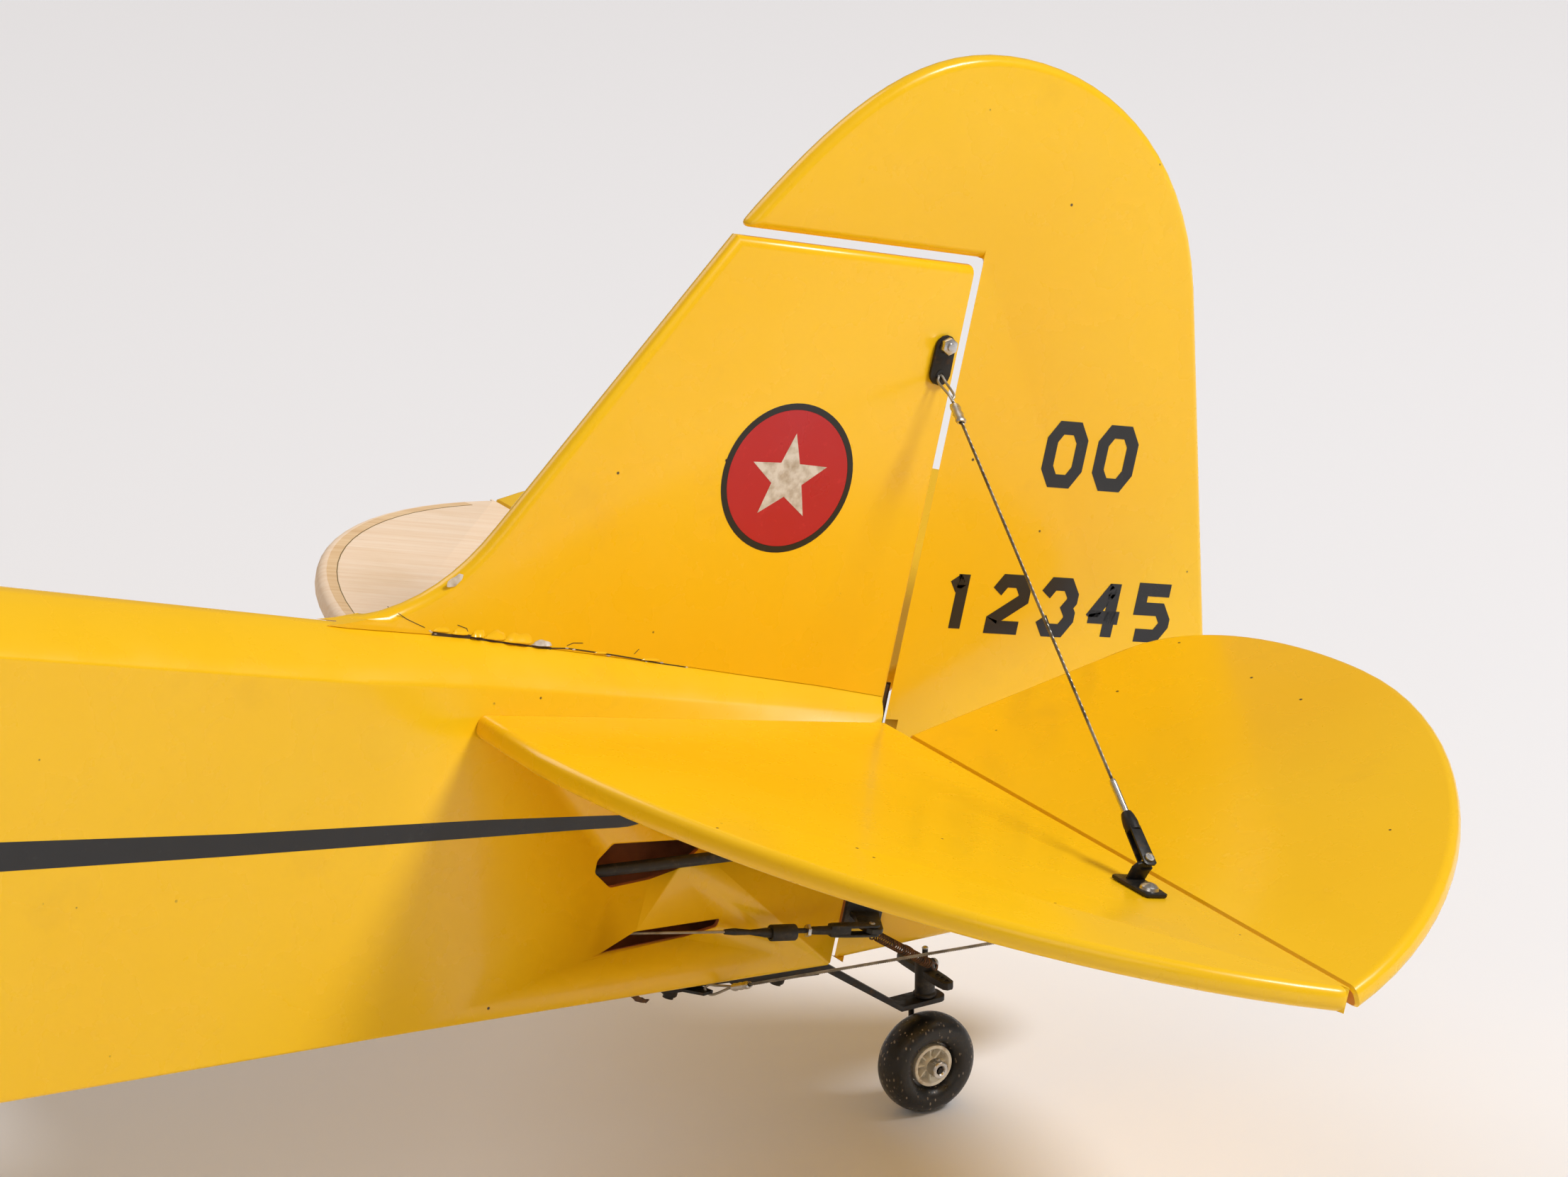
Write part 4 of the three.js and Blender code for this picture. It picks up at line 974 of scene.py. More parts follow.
def buildTailWheel(looks):
    steel, nylon, aluminium = looks["steel"], looks["nylon"], looks["aluminium"]
    place = wheelPlace("tail_wheel_spin")
    size = {
        "radius": 24.7, "half": 9.5, "seat": 10.6, "hubHalf": 6.6, "bore": 1.8, "boss": 3.3, "spokes": 8,
        "spokeWidth": 0.9
    }
    buildWheel(size, looks, "tail_wheel", place, "tail", "")

    # Everything below stands on the steering pivot, square to the ground.
    leg = {"wire": 1.4, "y": 13.1, "axleX": 1.0, "axleZ": -34.6}
    y, x, z = leg["y"], leg["axleX"], leg["axleZ"]
    bm = bmesh.new()
    joinIn(
        bm,
        tubePart(
            [
                (0, 0, 24.5), (0, 0, 10), (0, 0, -1.6), (0.2, 1.6, -4.6), (0.6, y - 3.4, -6.0),
                (0.9, y - 0.5, -8.2), (x, y, -13), (x, y, -24), (x, y, z + 3), (x, y - 2.2, z), (x, 0, z),
                (x, -y, z),
            ],
            leg["wire"], 8, 12
        )
    )
    finishPiece(bm, "tailWheelLeg", steel, "tail_steering", steeringPlace, replaced=("tail_wheel_leg",))

    post = {"radius": 4.8, "height": 17.8, "armLow": 10.6, "armHigh": 14.4}
    bm = bmesh.new()
    joinIn(bm, turnedPart([
        (0.4, 1.9), (0.4, 5.6), (1.6, 5.6), (2.4, post["radius"]), (post["height"] - 0.8, post["radius"]),
        (post["height"], post["radius"] - 0.7), (post["height"], 1.9),
    ], 32, True))
    arm = [(-3.4, 0), (-3.4, 15), (-2.9, 20.2), (-1.4, 22), (1.4, 22), (2.9, 20.2), (3.4, 15), (3.4, 0)]
    outline = arm + [(-px, -py) for px, py in arm]
    joinIn(bm, platePart(outline, post["armHigh"] - post["armLow"], 0.5), Matrix.Translation((0, 0, post["armLow"])))
    for side in (-1, 1):
        for reach in (11, 15, 19):
            joinIn(
                bm, turnedPart([(0, 0), (0, 1.5), (0.3, 1.5), (0.3, 0.9), (-0.6, 0.8), (-0.6, 0)], 16),
                Matrix.Translation((0, side * reach, post["armHigh"]))
            )
    finishPiece(bm, "tillerArm", nylon, "tail_steering", steeringPlace, replaced=("tiller_arm",))

    bm = bmesh.new()
    joinIn(bm, roundHead(2.9, 2.6), aimed((4.6, 0, 15.2), (6, 0, 15.2)))
    joinIn(bm, roundHead(1.6, 1.2), aimed((0, 0, 24.2), (0, 0, 26)))
    finishPiece(bm, "postScrew", aluminium, "tail_steering", steeringPlace)

    collar = {"near": 6.9, "far": 13.2, "radius": 4.2}
    bm = bmesh.new()
    joinIn(bm, turnedPart([
        (collar["near"], 1.75), (collar["near"], 3.8), (collar["near"] + 0.4, 4.2), (collar["far"] - 0.4, 4.2),
        (collar["far"], 3.8), (collar["far"], 2.5), (collar["far"] - 0.8, 1.75),
    ], 32, True), aimed((x, 0, z), (x, -1, z)))
    joinIn(bm, capHead(1.1, 1.0), aimed((x, -10.2, z + 4.1), (x, -10.2, z + 6)))
    finishPiece(bm, "wheelCollar", aluminium, "tail_steering", steeringPlace, replaced=("wheel_collar",))

    bm = copied("tail_leaf_spring")
    soften(
        bm, 4.5, 5, 60, lambda middle,
        edge: middle.x > 44 and abs((edge.verts[0].co - edge.verts[1].co).normalized().z) > 0.8
    )
    soften(bm, 0.35, 2)
    finishPiece(bm, "tailLeafSpring", steel, "airframe", sharp=40, replaced=("tail_leaf_spring",), outward=False)
    bm = bmesh.new()
    for bolt in (-23.9, -81.7):
        foot = bottomAt(bolt) - (4.7 if bolt > -50 else 4.4)
        joinIn(bm, capHead(3.6, 4.4), aimed((bolt, 0, foot), (bolt - 0.127, 0, foot - 1)))
        joinIn(
            bm, turnedPart([(0, 2.6), (0, 4.6), (0.5, 4.6), (0.5, 2.6)], 24, True),
            aimed((bolt, 0, foot), (bolt - 0.127, 0, foot - 1))
        )
    finishPiece(bm, "tailBolts", steel, "airframe")
    print("tail wheel ready")


def bottomAt(x):
    return -114 + 0.12775 * (x + 3)


def buildControlRuns(looks):
    nylon, cable = looks["nylon"], looks["cable"]
    pin = Vector((0.7, 30, -88.5))
    cableExit = Vector((-124, 14.3, -98.2))
    horn = {"face": 5.4, "thickness": 2.6, "base": 2.2}
    bm = bmesh.new()
    for side in (-1, 1):
        arm = [
            (4, -1), (16, -1), (21, horn["face"]), (16, 14), (6.6, 31.5), (4.4, 33.6), (-0.8, 33.8), (-2.7, 31.6),
            (-3, 24), (2.2, 14), (4, horn["face"])
        ]
        outline = [(px, side * py) for px, py in arm]
        joinIn(
            bm, platePart(outline, horn["thickness"], 0.45),
            Matrix.Translation((0, 0, pin.z - horn["thickness"] / 2))
        )
        base = [(1.6, -7), (20.6, -7), (21.8, -5.6), (21.8, 22.4), (20.6, 24), (2.2, 24), (0.9, 22.4), (0.9, -6)]
        face = Matrix.Translation((0, side * (horn["face"] + (horn["base"] if side > 0 else 0)), pin.z))
        joinIn(bm, platePart(base, horn["base"], 0.5), face @ Matrix.Rotation(math.pi / 2, 4, "X"))
        for z in (-4.2, 8, 19.4):
            start = (17.2 if z < 12 else 6.6, side * (horn["face"] + horn["base"] - 0.1), pin.z + z)
            joinIn(bm, roundHead(2.1, 1.3), aimed(start, (start[0], start[1] + side, start[2])), 1)
        for reach in (17, 23.5):
            place = Matrix.Translation((4.6 - reach * 0.13, side * reach, pin.z + horn["thickness"] / 2))
            joinIn(
                bm, turnedPart([(-0.5, 0), (-0.5, 0.75), (0.08, 0.85), (0.08, 1.35), (-0.4, 1.4), (-0.9, 0)], 14),
                place
            )
    finishPiece(bm, "rudderHorn", [nylon, looks["aluminium"]], "rudder", replaced=("rudder_horn",))

    for side in (-1, 1):
        body = "rudder_linkage" + nodeSide(side)
        end = Vector((pin.x, side * pin.y, pin.z))
        leave = Vector((cableExit.x, side * cableExit.y, cableExit.z))
        aim = (end - leave).normalized()

        def back(distance, drop=0.0):
            return end - aim * distance + Vector((0, 0, -drop))

        bm = bmesh.new()
        joinIn(bm, tubePart([
            back(62), back(100), leave, back(150), (-300, side * 8, -113), (-1012, side * 24, -160.4),
        ], 0.7, 12, 8))
        finishPiece(bm, "rudderCable" + sideName(side), cable, body)
        bm = bmesh.new()
        joinIn(
            bm,
            tubePart(
                [back(75), back(70), back(62, 0.4), back(54, 0.7), back(50, 0.8)], 1.0, 4, 14,
                [1.2, 1.7, 1.25, 2.3, 2.4]
            )
        )
        joinIn(
            bm,
            turnedPart(
                [
                    (0, 2.9), (0, 3.7), (0.5, 3.9), (12.2, 3.9), (12.7, 3.6), (12.7, 2.9), (2.5, 2.9), (2.5, 0.5),
                    (2, 0.5), (2, 2.9)
                ],
                28, True
            ),
            aimed(back(51.5, 0.9), back(38.8, 0.7))
        )
        finishPiece(bm, "cableSleeve" + sideName(side), nylon, body, replaced=("rudder_cable" + nodeSide(side),))

        # Clevis: threaded coupler, lock nut, then two jaws that close on the horn.
        toPin = aimed(back(0), end + aim)
        bm = bmesh.new()
        joinIn(
            bm,
            turnedPart([(-31, 1.7), (-30, 1.9), (-22.6, 2.1), (-20, 2.8), (-17.6, 2.8), (-17, 0), (-31, 0)], 20),
            toPin
        )
        upward = Vector((0, 0, 1))
        across = upward.cross(aim).normalized()
        turn = Matrix((aim, across, aim.cross(across))).transposed().to_4x4()
        jaws = Matrix.Translation(end) @ turn
        for low in (-2.9, 1.5):
            jaw = [
                (-20, -2.6), (-12, -3.0), (2, -3.0), (3.6, -1.8), (4, 0), (3.6, 1.8), (2, 3.0), (-12, 3.0),
                (-20, 2.6)
            ]
            joinIn(bm, platePart(jaw, 1.4, 0.45), jaws @ Matrix.Translation((0, 0, low)))
        joinIn(bm, blockPart((-21.6, -2.6, -2.9), (-11.0, 2.6, 2.9), 0.9), jaws)
        joinIn(bm, turnedPart([(-39.5, 0), (-39.5, 1.2), (-20, 1.2), (-20, 0)], 14), toPin)
        finishPiece(bm, "rudderClevis" + sideName(side), nylon, body, replaced=("rudder_clevis" + nodeSide(side),))
        bm = bmesh.new()
        joinIn(bm, hexNut(5.4, 1.7), toPin @ Matrix.Translation((0, 0, -33.4)))
        joinIn(
            bm, turnedPart([(-3.5, 0), (-3.5, 1.2), (-3.2, 1.4), (3.2, 1.4), (3.5, 1.2), (3.5, 0)], 16),
            Matrix.Translation(end)
        )
        finishPiece(bm, "couplerSteel" + sideName(side), looks["aluminium"], body)

        # Steering spring from the clevis pin to the tiller arm.
        first, last = Vector((2.5, side * 31.2, -90.6)), Vector((52.5, side * 12.8, -111.3))
        way = (last - first).normalized()
        length = (last - first).length
        bm = bmesh.new()
        joinIn(bm, coilPart(2.15, 0.4, length - 5, 26, 16, 8), aimed(first + way * 2, last))
        for foot, tip, sign in (
            (first + way * 3.4, Vector((1.4, side * 30, -91.4)), 1),
            (last - way * 3.6, Vector((57.5, side * 10.5, -113.4)), -1)
        ):
            side1 = way.cross(Vector((0, 0, 1))).normalized() * 1.7
            joinIn(
                bm,
                tubePart(
                    [
                        foot + side1, foot - way * 1.4 * sign + side1,
                        tip + (foot - tip) * 0.45 + Vector((0, 0, 1.4)), tip + Vector((0, 0, 1.2)),
                        tip + Vector((0, 0, -1.4)), tip + (foot - tip) * 0.4 + Vector((0, 0, -1.5)),
                        tip + (foot - tip) * 0.6
                    ],
                    0.42, 8, 8
                )
            )
        finishPiece(
            bm, "steeringSpring" + sideName(side), looks["spring"], body,
            replaced=("steering_spring" + nodeSide(side),)
        )

    # Elevator horn in the elevator's own place, and its pushrod.
    bm = bmesh.new()
    plate = [
        (2.4, -6.2), (23.4, -6.2), (23.8, -8.4), (9, -44), (7, -47.2), (4.4, -48), (-0.6, -48), (-2.2, -46.4),
        (-3, -40.4), (-1, -30), (2, -10)
    ]
    upright = Matrix.Translation((0, -41 + 1.3, 0)) @ Matrix.Rotation(math.pi / 2, 4, "X")
    joinIn(bm, platePart(plate, 2.6, 0.45), upright)
    joinIn(bm, blockPart((2, -50, -8), (26, -32, -5.6), 0.7))
    for px in (6, 22):
        for py in (-46.5, -35.5):
            joinIn(bm, roundHead(1.9, 1.2), aimed((px, py, -7.9), (px, py, -9)), 1)
    for reach in (-43, -36, -29):
        for offset, way in ((-42.3, -1), (-39.7, 1)):
            joinIn(bm, turnedPart([(-0.4, 0), (-0.4, 0.8), (0.06, 0.9), (0.06, 1.3), (-0.3, 1.4), (-0.8, 0)], 14),
                   aimed((2, offset, reach), (2, offset + way, reach)))
    finishPiece(
        bm, "elevatorHorn", [nylon, looks["aluminium"]], "elevator", elevatorPlace, replaced=("elevator_horn",)
    )
    reworked("elevator_pushrod", nylon, "elevator_pushrod", 0.3, 1, 50)
    reworked("elevator_joiner", looks["steel"], "elevator", 0.3, 1, 50)
    rod = {"end": Vector((21.3, -36.6, -37.4)), "exit": Vector((-141.6, -14.4, -68.5))}
    aim = (rod["end"] - rod["exit"]).normalized()
    bm = bmesh.new()
    toEnd = aimed(rod["end"], rod["end"] + aim)
    joinIn(bm, coilPart(1.35, 0.3, 12, 16, 10, 5), toEnd @ Matrix.Translation((0, 0, -25)))
    joinIn(bm, hexNut(5.6, 2.4), toEnd @ Matrix.Translation((0, 0, -13.4)))
    joinIn(bm, roundHead(2.0, 1.2), aimed(rod["end"] + Vector((0, 2.5, 0)), rod["end"] + Vector((0, 4, 0))))
    finishPiece(bm, "pushrodSteel", looks["aluminium"], "elevator_pushrod")
    print("control runs ready")


def buildBracing(looks):
    steel, cable, aluminium = looks["steel"], looks["cable"], looks["aluminium"]
    top, foot = Vector((-9, 10.5, 168)), Vector((-17, 238, 16))
    for side in (-1, 1):
        flip = Matrix.Scale(side, 4, (0, 1, 0))
        # Tab on the fin, with its nut and the hole that the cable is looped through.
        bm = bmesh.new()
        tab = [
            (-15.5, 171), (-15.3, 184), (-14.6, 187), (-12.4, 189), (-10, 189.6), (-7.6, 189), (-5.4, 187),
            (-4.7, 184), (-4.5, 171), (-5.2, 168.4), (-7, 166.6), (-10, 166), (-12.8, 166.7), (-14.8, 168.6)
        ]
        joinIn(
            bm, platePart(tab, 1.6, 0.35),
            flip @ Matrix.Translation((0, 7.0, 0)) @ Matrix.Rotation(math.pi / 2, 4, "X")
        )
        joinIn(
            bm, turnedPart([(0, 1.2), (0, 2.4), (0.25, 2.4), (0.25, 1.2)], 18, True),
            flip @ aimed((-10, 7.0, 171), (-10, 8, 171))
        )
        finishPiece(
            bm, "finBraceTab" + sideName(side), steel, "airframe", replaced=("fin_brace_tab" + nodeSide(side),)
        )
        bm = bmesh.new()
        joinIn(bm, hexNut(7.2, 3.2), flip @ aimed((-10, 7.2, 185), (-10, 8, 185)))
        finishPiece(bm, "finBraceNut" + sideName(side), aluminium, "airframe")

        # Cable: loop through the tab, crimped sleeve, then down to the threaded clevis.
        way = (top - foot).normalized()
        reach = (top - foot).length
        loopFoot = foot + way * (reach - 8)
        eye = Vector((-10, 7.0, 171))
        bm = bmesh.new()
        start = foot + way * 43
        joinIn(bm, cablePart((loopFoot - start).length, 0.8, 7), flip @ aimed(start, loopFoot))
        joinIn(
            bm,
            tubePart(
                [
                    loopFoot - way * 2, loopFoot + Vector((1.6, 0, 1)), eye + Vector((1.8, 2.6, -2.6)),
                    eye + Vector((0.6, 0.6, -0.4)), eye + Vector((-0.4, -1.5, 0.1)),
                    eye + Vector((-1.2, 0.4, -0.8)), eye + Vector((-2.2, 2.8, -3)), loopFoot + Vector((-1.6, 0, 1)),
                    loopFoot - way * 3
                ],
                0.62, 8, 10
            ),
            flip
        )
        finishPiece(
            bm, "upperBraceWire" + sideName(side), cable, "airframe",
            replaced=("upper_brace_wire" + nodeSide(side),)
        )
        bm = bmesh.new()
        crimp = aimed(foot + way * 250, foot + way * 262)
        joinIn(bm, crimpPart(), flip @ crimp @ Matrix.Diagonal((1.5, 1, 1, 1)))
        finishPiece(bm, "upperCrimp" + sideName(side), aluminium, "airframe")

        # Bent tab on the tailplane with a bolt, the clevis and its rivet.
        bm = bmesh.new()
        tab = [
            (-28, 231), (-26.6, 230), (-15.2, 230), (-14, 231), (-15.2, 246), (-16.4, 256), (-17.6, 257),
            (-27, 257), (-28, 256)
        ]
        joinIn(bm, platePart(tab, 1.6, 0.35), flip @ Matrix.Translation((0, 0, 5.9)))
        joinIn(
            bm,
            platePart(
                [(-24, 0), (-24, 7), (-22.4, 9.4), (-19, 10.4), (-15.6, 9.4), (-14, 7), (-14.4, 0)], 1.5, 0.35
            ),
            flip @ Matrix.Translation((0, 236.4, 6.6)) @ Matrix.Rotation(math.radians(68), 4, "X")
        )
        turn = aimed(foot, foot + way)
        for shift in (-2.3, 1.3):
            joinIn(
                bm,
                platePart(
                    [(-3.2, -2.4), (-2, -3.4), (0, -3.6), (2, -3.4), (3.2, -2.4), (2.8, 18), (-2.8, 18)], 1.0, 0.25
                ),
                flip @ turn @ Matrix.Rotation(math.pi / 2, 4, "X") @ Matrix.Translation((0, 0, shift))
            )
        joinIn(bm, turnedPart([(16, 0), (16, 3.3), (20, 3.5), (24, 3.0), (26, 2.4), (26, 0)], 22), flip @ turn)
        finishPiece(
            bm, "stabBraceClevis" + sideName(side), steel, "airframe",
            replaced=("stab_brace_clevis" + nodeSide(side),)
        )
        bm = bmesh.new()
        joinIn(bm, roundHead(4.4, 3.0), flip @ aimed((-22, 250, 7.5), (-22, 250, 9)))
        joinIn(
            bm, turnedPart([(0, 0), (0, 2), (-0.5, 2.2), (5.4, 2.2), (5.9, 1.6), (5.9, 0)], 16),
            flip @ turn @ Matrix.Rotation(math.pi / 2, 4, "X") @ Matrix.Translation((0, 0, -2.9))
        )
        joinIn(bm, coilPart(1.35, 0.32, 17, 24, 10, 5), flip @ turn @ Matrix.Translation((0, 0, 26)))
        joinIn(bm, turnedPart([(25, 0), (25, 1.4), (44, 1.4), (44.6, 0.9), (44.6, 0)], 14), flip @ turn)
        finishPiece(bm, "stabBraceBolt" + sideName(side), aluminium, "airframe")

        # Lower cable from the belly tab to the underside of the tailplane.
        low, high = Vector((-64, 13.4, -124.9)), Vector((-23, 235, -12.5))
        way = (high - low).normalized()
        bm = bmesh.new()
        start = low + way * 6
        joinIn(bm, cablePart((high - start).length - 4, 0.8, 7), flip @ aimed(start, high))
        eye = Vector((-69.5, 11.6, -125.6))
        joinIn(
            bm,
            tubePart(
                [
                    start + way * 3, start + Vector((1.4, 0, 0.6)), eye + Vector((2.8, 1.8, -1.6)),
                    eye + Vector((0.8, -0.6, -2.0)), eye + Vector((-0.8, -1.6, 0)), eye + Vector((0.4, -0.4, 2.2)),
                    eye + Vector((2.4, 2, 2.8)), start + Vector((-1.4, 0, 1)), start + way * 4
                ],
                0.62, 8, 10
            ),
            flip
        )
        joinIn(
            bm,
            tubePart(
                [
                    high - way * 5, high + Vector((-1, 2.4, 0.4)), (-22, 240, -8.6), (-20.8, 238.4, -8.4),
                    high - way * 3
                ],
                0.62, 6, 10
            ),
            flip
        )
        finishPiece(
            bm, "lowerBraceWire" + sideName(side), cable, "airframe",
            replaced=("lower_brace_wire" + nodeSide(side),)
        )
        bm = bmesh.new()
        joinIn(bm, crimpPart(),
               flip @ aimed(low + way * 9, low + way * 24) @ Matrix.Diagonal((1.5, 1, 1, 1)))
        joinIn(
            bm, turnedPart([(0, 0), (0, 4), (3.4, 4), (4, 3.2), (4, 0)], 24),
            flip @ aimed((-22, 240, -5.9), (-22, 240, -8))
        )
        finishPiece(bm, "lowerCrimp" + sideName(side), aluminium, "airframe")
    reworked("belly_brace_tab", steel, "airframe", 0.3, 1)
    print("tail bracing ready")


def buildMarkings(looks):
    trim = looks["trim"]
    digits = {
        "stroke": 6.4, "thickness": 0.12, "cut": 0.24, "lift": 5.02,
        "rows": [
            {"text": "00", "left": 59, "right": 112, "low": 122, "high": 154, "gap": 6},
            {"text": "12345", "left": 18, "right": 153, "low": 50, "high": 79, "gap": 6},
        ],
    }
    c = digits["cut"]
    strokes = {
        "0": [([(c, 0), (1 - c, 0), (1, c), (1, 1 - c), (1 - c, 1), (c, 1), (0, 1 - c), (0, c)], True)],
        "1": [([(0.16, 0.8), (0.5, 0.97)], False), ([(0.5, 1.08), (0.5, -0.08)], False)],
        "2": [([(0, 1 - c), (c, 1), (1 - c, 1), (1, 1 - c), (1, 0.62), (0, 0.14), (0, 0), (1, 0)], False)],
        "3": [
            (
                [
                    (0, 1 - c), (c, 1), (1 - c, 1), (1, 1 - c), (1, 0.64), (1 - c * 0.6, 0.5), (1, 0.36), (1, c),
                    (1 - c, 0), (c, 0), (0, c)
                ],
                False
            )
        ],
        "4": [
            ([(0.72, -0.08), (0.72, 1.08)], False), ([(0.68, 1), (0, 0.3)], False),
            ([(-0.06, 0.34), (1.06, 0.34)], False)
        ],
        "5": [([(1, 1), (0, 1), (0, 0.58), (1 - c, 0.58), (1, 0.58 - c), (1, c), (1 - c, 0), (0, 0)], False)],
    }
    upright = Matrix.Rotation(math.pi / 2, 4, "X")
    for side in (-1, 1):
        bm = bmesh.new()
        for row in digits["rows"]:
            count = len(row["text"])
            wide = (row["right"] - row["left"] - row["gap"] * (count - 1)) / count
            inset = digits["stroke"] / 2
            for k, digit in enumerate(row["text"]):
                left = row["left"] + k * (wide + row["gap"]) + inset
                for points, closed in strokes[digit]:
                    placed = [
                        (
                            left + u * (wide - 2 * inset),
                            row["low"] + inset + v * (row["high"] - row["low"] - 2 * inset)
                        ) for u,
                        v in points
                    ]
                    joinIn(bm, ribbonPart(placed, digits["stroke"], digits["thickness"], closed))
        # The starboard copy is turned about the middle of the rows, so that it reads the right way round.
        middle = (digits["rows"][1]["left"] + digits["rows"][1]["right"]) / 2
        turn = Matrix.Identity(4) if side < 0 else Matrix.Translation(
            (2 * middle, 0, 0)
        ) @ Matrix.Rotation(math.pi, 4, "Z")
        place = turn @ Matrix.Translation((0, -digits["lift"], 0)) @ upright
        finishPiece(bm, "rudderNumber" + sideName(side), trim, "rudder", levelPlace @ place)

    badge = {"centre": (-80, 117), "radius": 35, "rim": 3.0, "starOuter": 21, "starInner": 8.6, "lift": 5.02}
    for side in (-1, 1):
        x, z = badge["centre"]
        place = levelPlace @ aimed((x, side * badge["lift"], z), (x, side * (badge["lift"] + 1), z))
        bm = bmesh.new()
        joinIn(
            bm,
            turnedPart(
                [
                    (0, 0), (0, badge["radius"] - badge["rim"]), (0.14, badge["radius"] - badge["rim"] - 0.1),
                    (0.14, 0)
                ],
                72
            )
        )
        finishPiece(bm, "finBadge" + sideName(side), looks["badge"], "airframe", place)
        bm = bmesh.new()
        rim = badge["radius"] - badge["rim"]
        joinIn(
            bm, turnedPart([(0, rim), (0, badge["radius"]), (0.12, badge["radius"] - 0.08), (0.16, rim)], 72, True)
        )
        finishPiece(bm, "finBadgeRim" + sideName(side), trim, "airframe", place)
        bm = bmesh.new()
        upward = (place.inverted() @ levelPlace).to_3x3() @ Vector((0, 0, 1))
        turn = math.atan2(upward.y, upward.x)
        points = []
        for k in range(10):
            reach = badge["starOuter"] if k % 2 == 0 else badge["starInner"]
            points.append((reach * math.cos(turn + math.pi * k / 5), reach * math.sin(turn + math.pi * k / 5)))
        joinIn(bm, platePart(points, 0.1, 0), Matrix.Translation((0, 0, 0.14)))
        finishPiece(bm, "finStar" + sideName(side), looks["filler"], "airframe", place)
    print("markings ready")


def buildWear(looks):
    # The cracked joint under the fin: lifted film on both sides of a dark split, with filler in it.
    crack = {
        "line": [
            (-248, 36), (-240, 35.2), (-232, 34.6), (-227, 35.4), (-221, 33.6), (-213, 33.0), (-198, 32.2),
            (-186, 31.6), (-178, 31.9), (-172, 31.6), (-164, 30.8), (-154, 30.2), (-144, 29.2), (-136, 28.3),
            (-127, 27.3), (-113, 26),
        ],
        "wideEnd": 0.44
    }
    # Lifted flaps above the split: foot, length, height, lift.
    flaps = [
        (-244, 9, 2.6, 1.0), (-234, 9, 3.4, 1.5), (-225, 7, 4.2, 2.2), (-216, 11, 4.6, 1.7), (-204, 15, 5.6, 2.6),
        (-160, 7, 1.4, 0.5), (-133, 10, 1.5, 0.6)
    ]
    curl = (-191.5, 10, 3.0, 2.0)
    hairlines = [
        [(-266.8, 43.8), (-262, 41.4), (-258.3, 40.1), (-252.2, 38.0)], [(-178, 33.2), (-175, 34.6), (-170, 34.8)],
        [(-142, 31), (-140, 33.4)], [(-229, 35.4), (-231, 38.6), (-236, 40)],
    ]
    dice = random.Random(5)
    upright = Matrix.Rotation(math.pi / 2, 4, "X")
    for side in (-1, 1):
        film, filler, dark = bmesh.new(), bmesh.new(), bmesh.new()
        flat = Matrix.Translation((0, -5.02 if side < 0 else 5.16, 0)) @ upright

        def flapPart(foot, length, height, lift):
            flap = bmesh.new()
            bmesh.ops.create_grid(flap, x_segments=10, y_segments=5, size=0.5)
            for vert in flap.verts:
                u, v = vert.co.x + 0.5, vert.co.y + 0.5
                ragged = 0.8 + 0.35 * noise.noise(Vector((u * 3 + foot, 2, 5)))
                arch = math.sin(math.pi * min(1, max(0, u))) ** 0.5
                vert.co = Vector((
                    foot + (u - 0.5) * length + 0.8 * v * ragged,
                    side * (5.06 + lift * (1 - v) ** 1.5 * arch * ragged),
                    34.5 - (foot + 213) * 0.075 + height * v * arch * ragged,
                ))
            bmesh.ops.solidify(flap, geom=flap.faces[:], thickness=0.12)
            return flap

        split = [(x, z + 0.5 * noise.noise(Vector((x * 0.3, side, 3)))) for x, z in crack["line"]]
        wide = int(len(split) * crack["wideEnd"]) + 1
        joinIn(dark, ribbonPart([(x, z - 0.3) for x, z in split[:wide]], 1.7, 0.14), flat)
        joinIn(dark, ribbonPart(split[wide - 1:], 0.55, 0.14), flat)
        for line in hairlines:
            joinIn(dark, ribbonPart(line, 0.3, 0.1), flat)
        for foot, length, height, lift in flaps:
            joinIn(film, flapPart(foot, length, height, lift))
        joinIn(filler, flapPart(*curl))
        for k in range(12):
            x, z = crack["line"][dice.randrange(len(crack["line"]))]
            size = dice.uniform(0.3, 0.8)
            shard = bmesh.new()
            bmesh.ops.create_icosphere(shard, subdivisions=1, radius=size)
            for vert in shard.verts:
                vert.co = Vector((vert.co.x * 1.6, vert.co.y * 0.22, vert.co.z * 0.5)) * dice.uniform(0.75, 1.2)
            joinIn(
                filler, shard,
                Matrix.Translation((x + dice.uniform(-2, 2), side * 5.1, z + dice.uniform(-0.9, 0.9)))
            )
        finishPiece(film, "liftedFilm" + sideName(side), looks["film"], "airframe")
        finishPiece(filler, "crackFiller" + sideName(side), looks["filler"], "airframe")
        finishPiece(dark, "rootCrack" + sideName(side), looks["seam"], "airframe")

    # A chip in the film where the fin runs down to the deck.
    chip = {"place": (-241.6, 60), "size": (4.6, 2.0), "slope": 0.7}
    bm = bmesh.new()
    points = []
    for k in range(14):
        turn = math.tau * k / 14
        ragged = 1 + 0.35 * noise.noise(Vector((math.cos(turn) * 2, math.sin(turn) * 2, 8)))
        points.append(
            (
                chip["place"][0] + chip["size"][0] * math.cos(turn) * ragged,
                chip["place"][1] + chip["size"][1] * math.sin(turn) * ragged
            )
        )
    tilt = Matrix.Translation((*chip["place"], 0)) @ Matrix.Rotation(chip["slope"], 4, "Z") @ Matrix.Translation(
        (-chip["place"][0], -chip["place"][1], 0)
    )
    joinIn(bm, platePart(points, 0.12, 0), Matrix.Translation((0, -5.01, 0)) @ upright @ tilt)
    finishPiece(bm, "finChip", looks["filler"], "airframe")

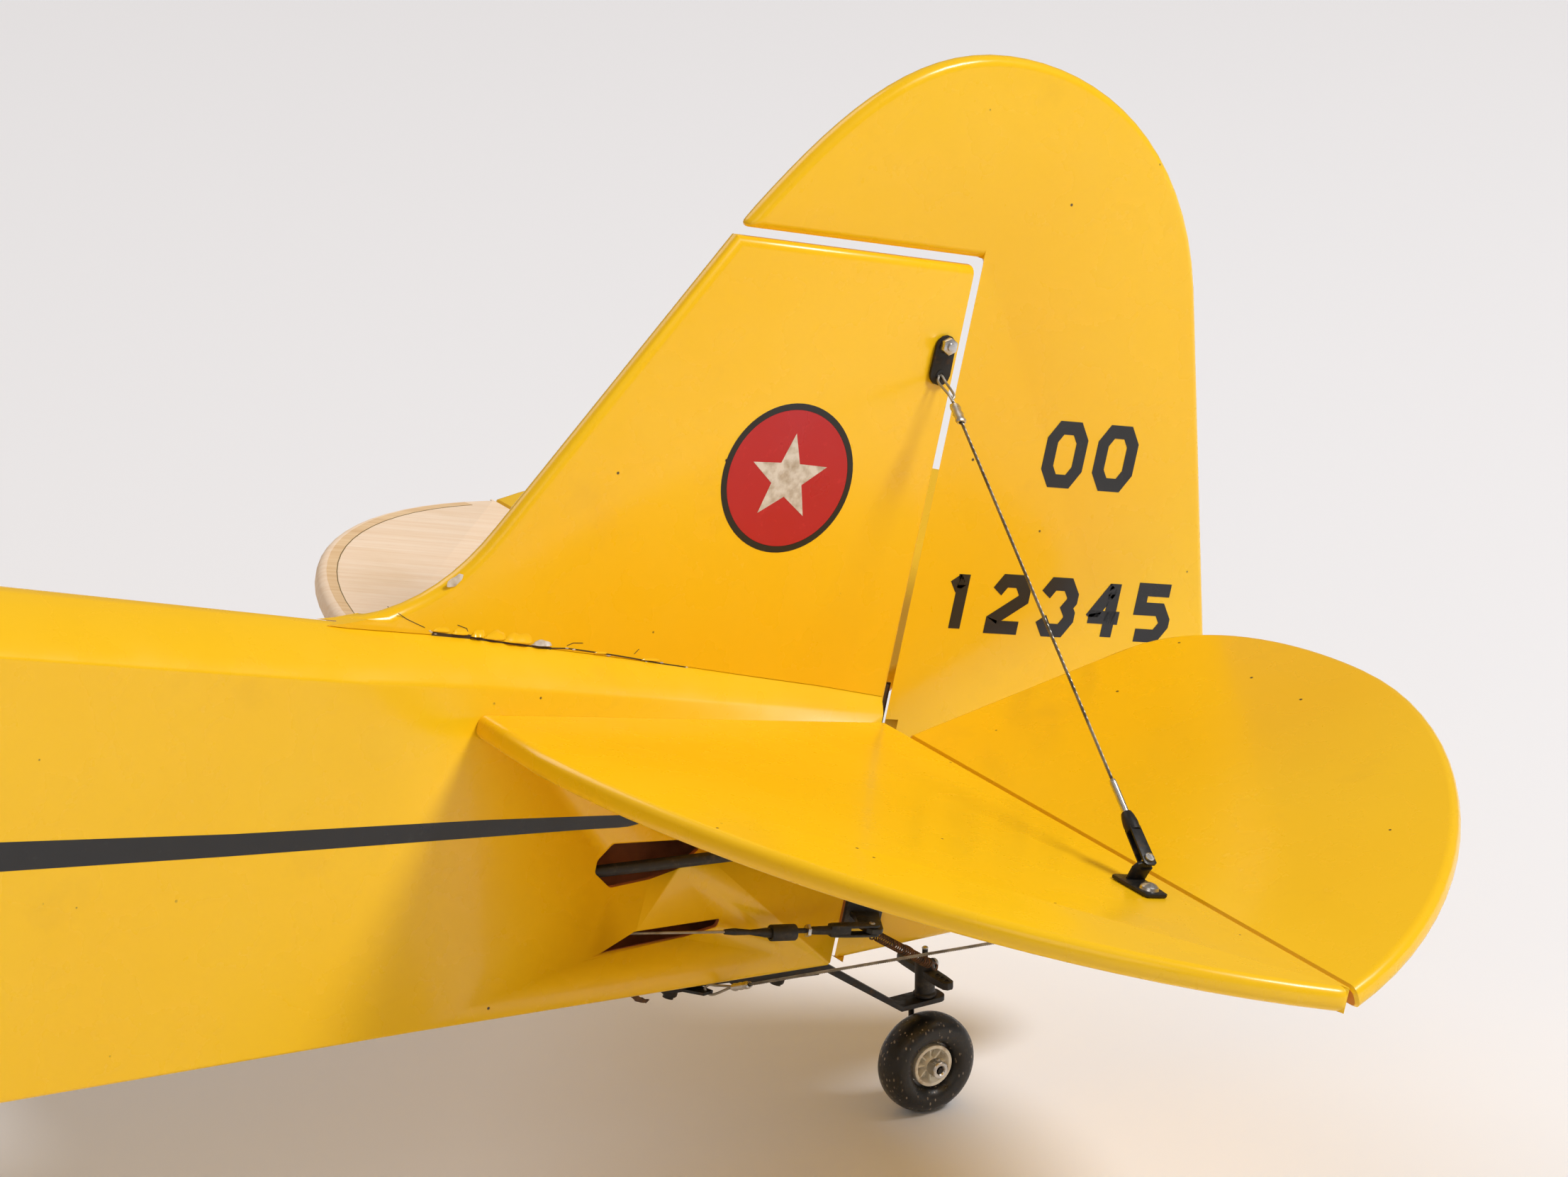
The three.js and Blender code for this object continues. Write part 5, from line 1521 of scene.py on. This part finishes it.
    # Nylon hinge knuckles in the slots between fixed and moving surfaces.
    hinge = {"fin": (92, 175), "tailplane": (96, 208, 312), "width": 9}
    for name, body, spots in (
        ("rudderHinges", "airframe", hinge["fin"]), ("elevatorHinges", "airframe", hinge["tailplane"])
    ):
        bm = bmesh.new()
        for spot in spots:
            for side in (-1, 1) if name == "elevatorHinges" else (1,):
                along = Vector((0, side, 0)) if name == "elevatorHinges" else Vector((0, 0, 1))
                middle = along * spot
                joinIn(
                    bm,
                    turnedPart(
                        [
                            (-hinge["width"] / 2, 0), (-hinge["width"] / 2, 1.3), (hinge["width"] / 2, 1.3),
                            (hinge["width"] / 2, 0)
                        ],
                        14
                    ),
                    aimed(middle, middle + along)
                )
                flat = (0.4, hinge["width"] / 2, 0.4) if name == "elevatorHinges" else (0.4, 0.4, hinge["width"] / 2)
                joinIn(
                    bm,
                    blockPart(
                        middle - Vector((2.2, flat[1], flat[2])), middle + Vector((0.2, flat[1], flat[2])), 0.1
                    )
                )
        finishPiece(bm, name, looks["cream"], body)
    # A dark block low in the gap between fin and rudder: painted shade filling the gap.
    bm = bmesh.new()
    joinIn(bm, blockPart((-1.4, -3.4, 2), (1.2, 3.4, 22), 0.2))
    joinIn(bm, blockPart((-1.4, 0.9, 2), (4.9, 1.9, 22), 0.2))
    finishPiece(bm, "rudderGapShade", looks["seam"], "airframe")

    # A dry leaf caught under the tail.
    leaf = {"place": (-108, -9.5, -131), "length": 15}
    bm = bmesh.new()
    bmesh.ops.create_grid(bm, x_segments=12, y_segments=6, size=0.5)
    for vert in bm.verts:
        u, v = vert.co.x + 0.5, vert.co.y * 2
        wide = 2.6 * math.sin(math.pi * min(1, u * 0.92 + 0.06)) ** 0.8
        curl = 2.4 * v * v + 1.1 * noise.noise(Vector((u * 6, v * 2, 1)))
        vert.co = Vector((leaf["length"] * (u - 0.5), v * wide, curl + 3 * (u - 0.5) ** 2 * 4))
    bmesh.ops.solidify(bm, geom=bm.faces[:], thickness=0.15)
    bmesh.ops.rotate(bm, cent=(0, 0, 0), matrix=Matrix.Rotation(math.radians(38), 3, "Y"), verts=bm.verts)
    bmesh.ops.translate(bm, vec=leaf["place"], verts=bm.verts)
    finishPiece(bm, "caughtLeaf", looks["spring"], "airframe")
    print("wear ready")


buildStudio()
looks = {
    "film": makeYellowFilm(),
    "worn": makeWornShadedHinge(),
    "balsa": makeBareBalsa("bareBalsa", (0.94, 0.76, 0.585), (0.87, 0.65, 0.45)),
    "strip": makeBareBalsa("balsaStrip", (0.82, 0.6, 0.36), (0.7, 0.46, 0.24)),
    "joint": makeTrim("glueLine", "bare_balsa", (0.2, 0.14, 0.05), 0.7),
    "nylon": makeBlackNylon(),
    "steel": makeBlackSteel(),
    "spring": makeRustySpring(),
    "cable": makeSteelCable(),
    "aluminium": makeAluminium(),
    "rubber": makeTyreRubber(),
    "cream": makeCreamNylon(),
    "glazing": makeGlazing(),
    "wood": makeVarnishedWood(),
    "tank": makeTankPlastic(),
    "trim": makeTrim("blackTrim", "black_marking", (0.012, 0.012, 0.013)),
    "seam": makeTrim("darkSeam", "black_marking", (0.05, 0.028, 0.012), 0.6),
    "badge": makeTrim("badgeRed", "badge_red", (0.5, 0.012, 0.018)),
    "filler": makeFiller(),
    "inside": makeDarkWood(),
}
print("materials ready")
buildFuselage(looks)
buildTailPlates(looks)
buildWings(looks)
buildNose(looks)
buildCabin(looks)
buildGear(looks)
buildTailWheel(looks)
buildControlRuns(looks)
buildBracing(looks)
buildMarkings(looks)
buildWear(looks)
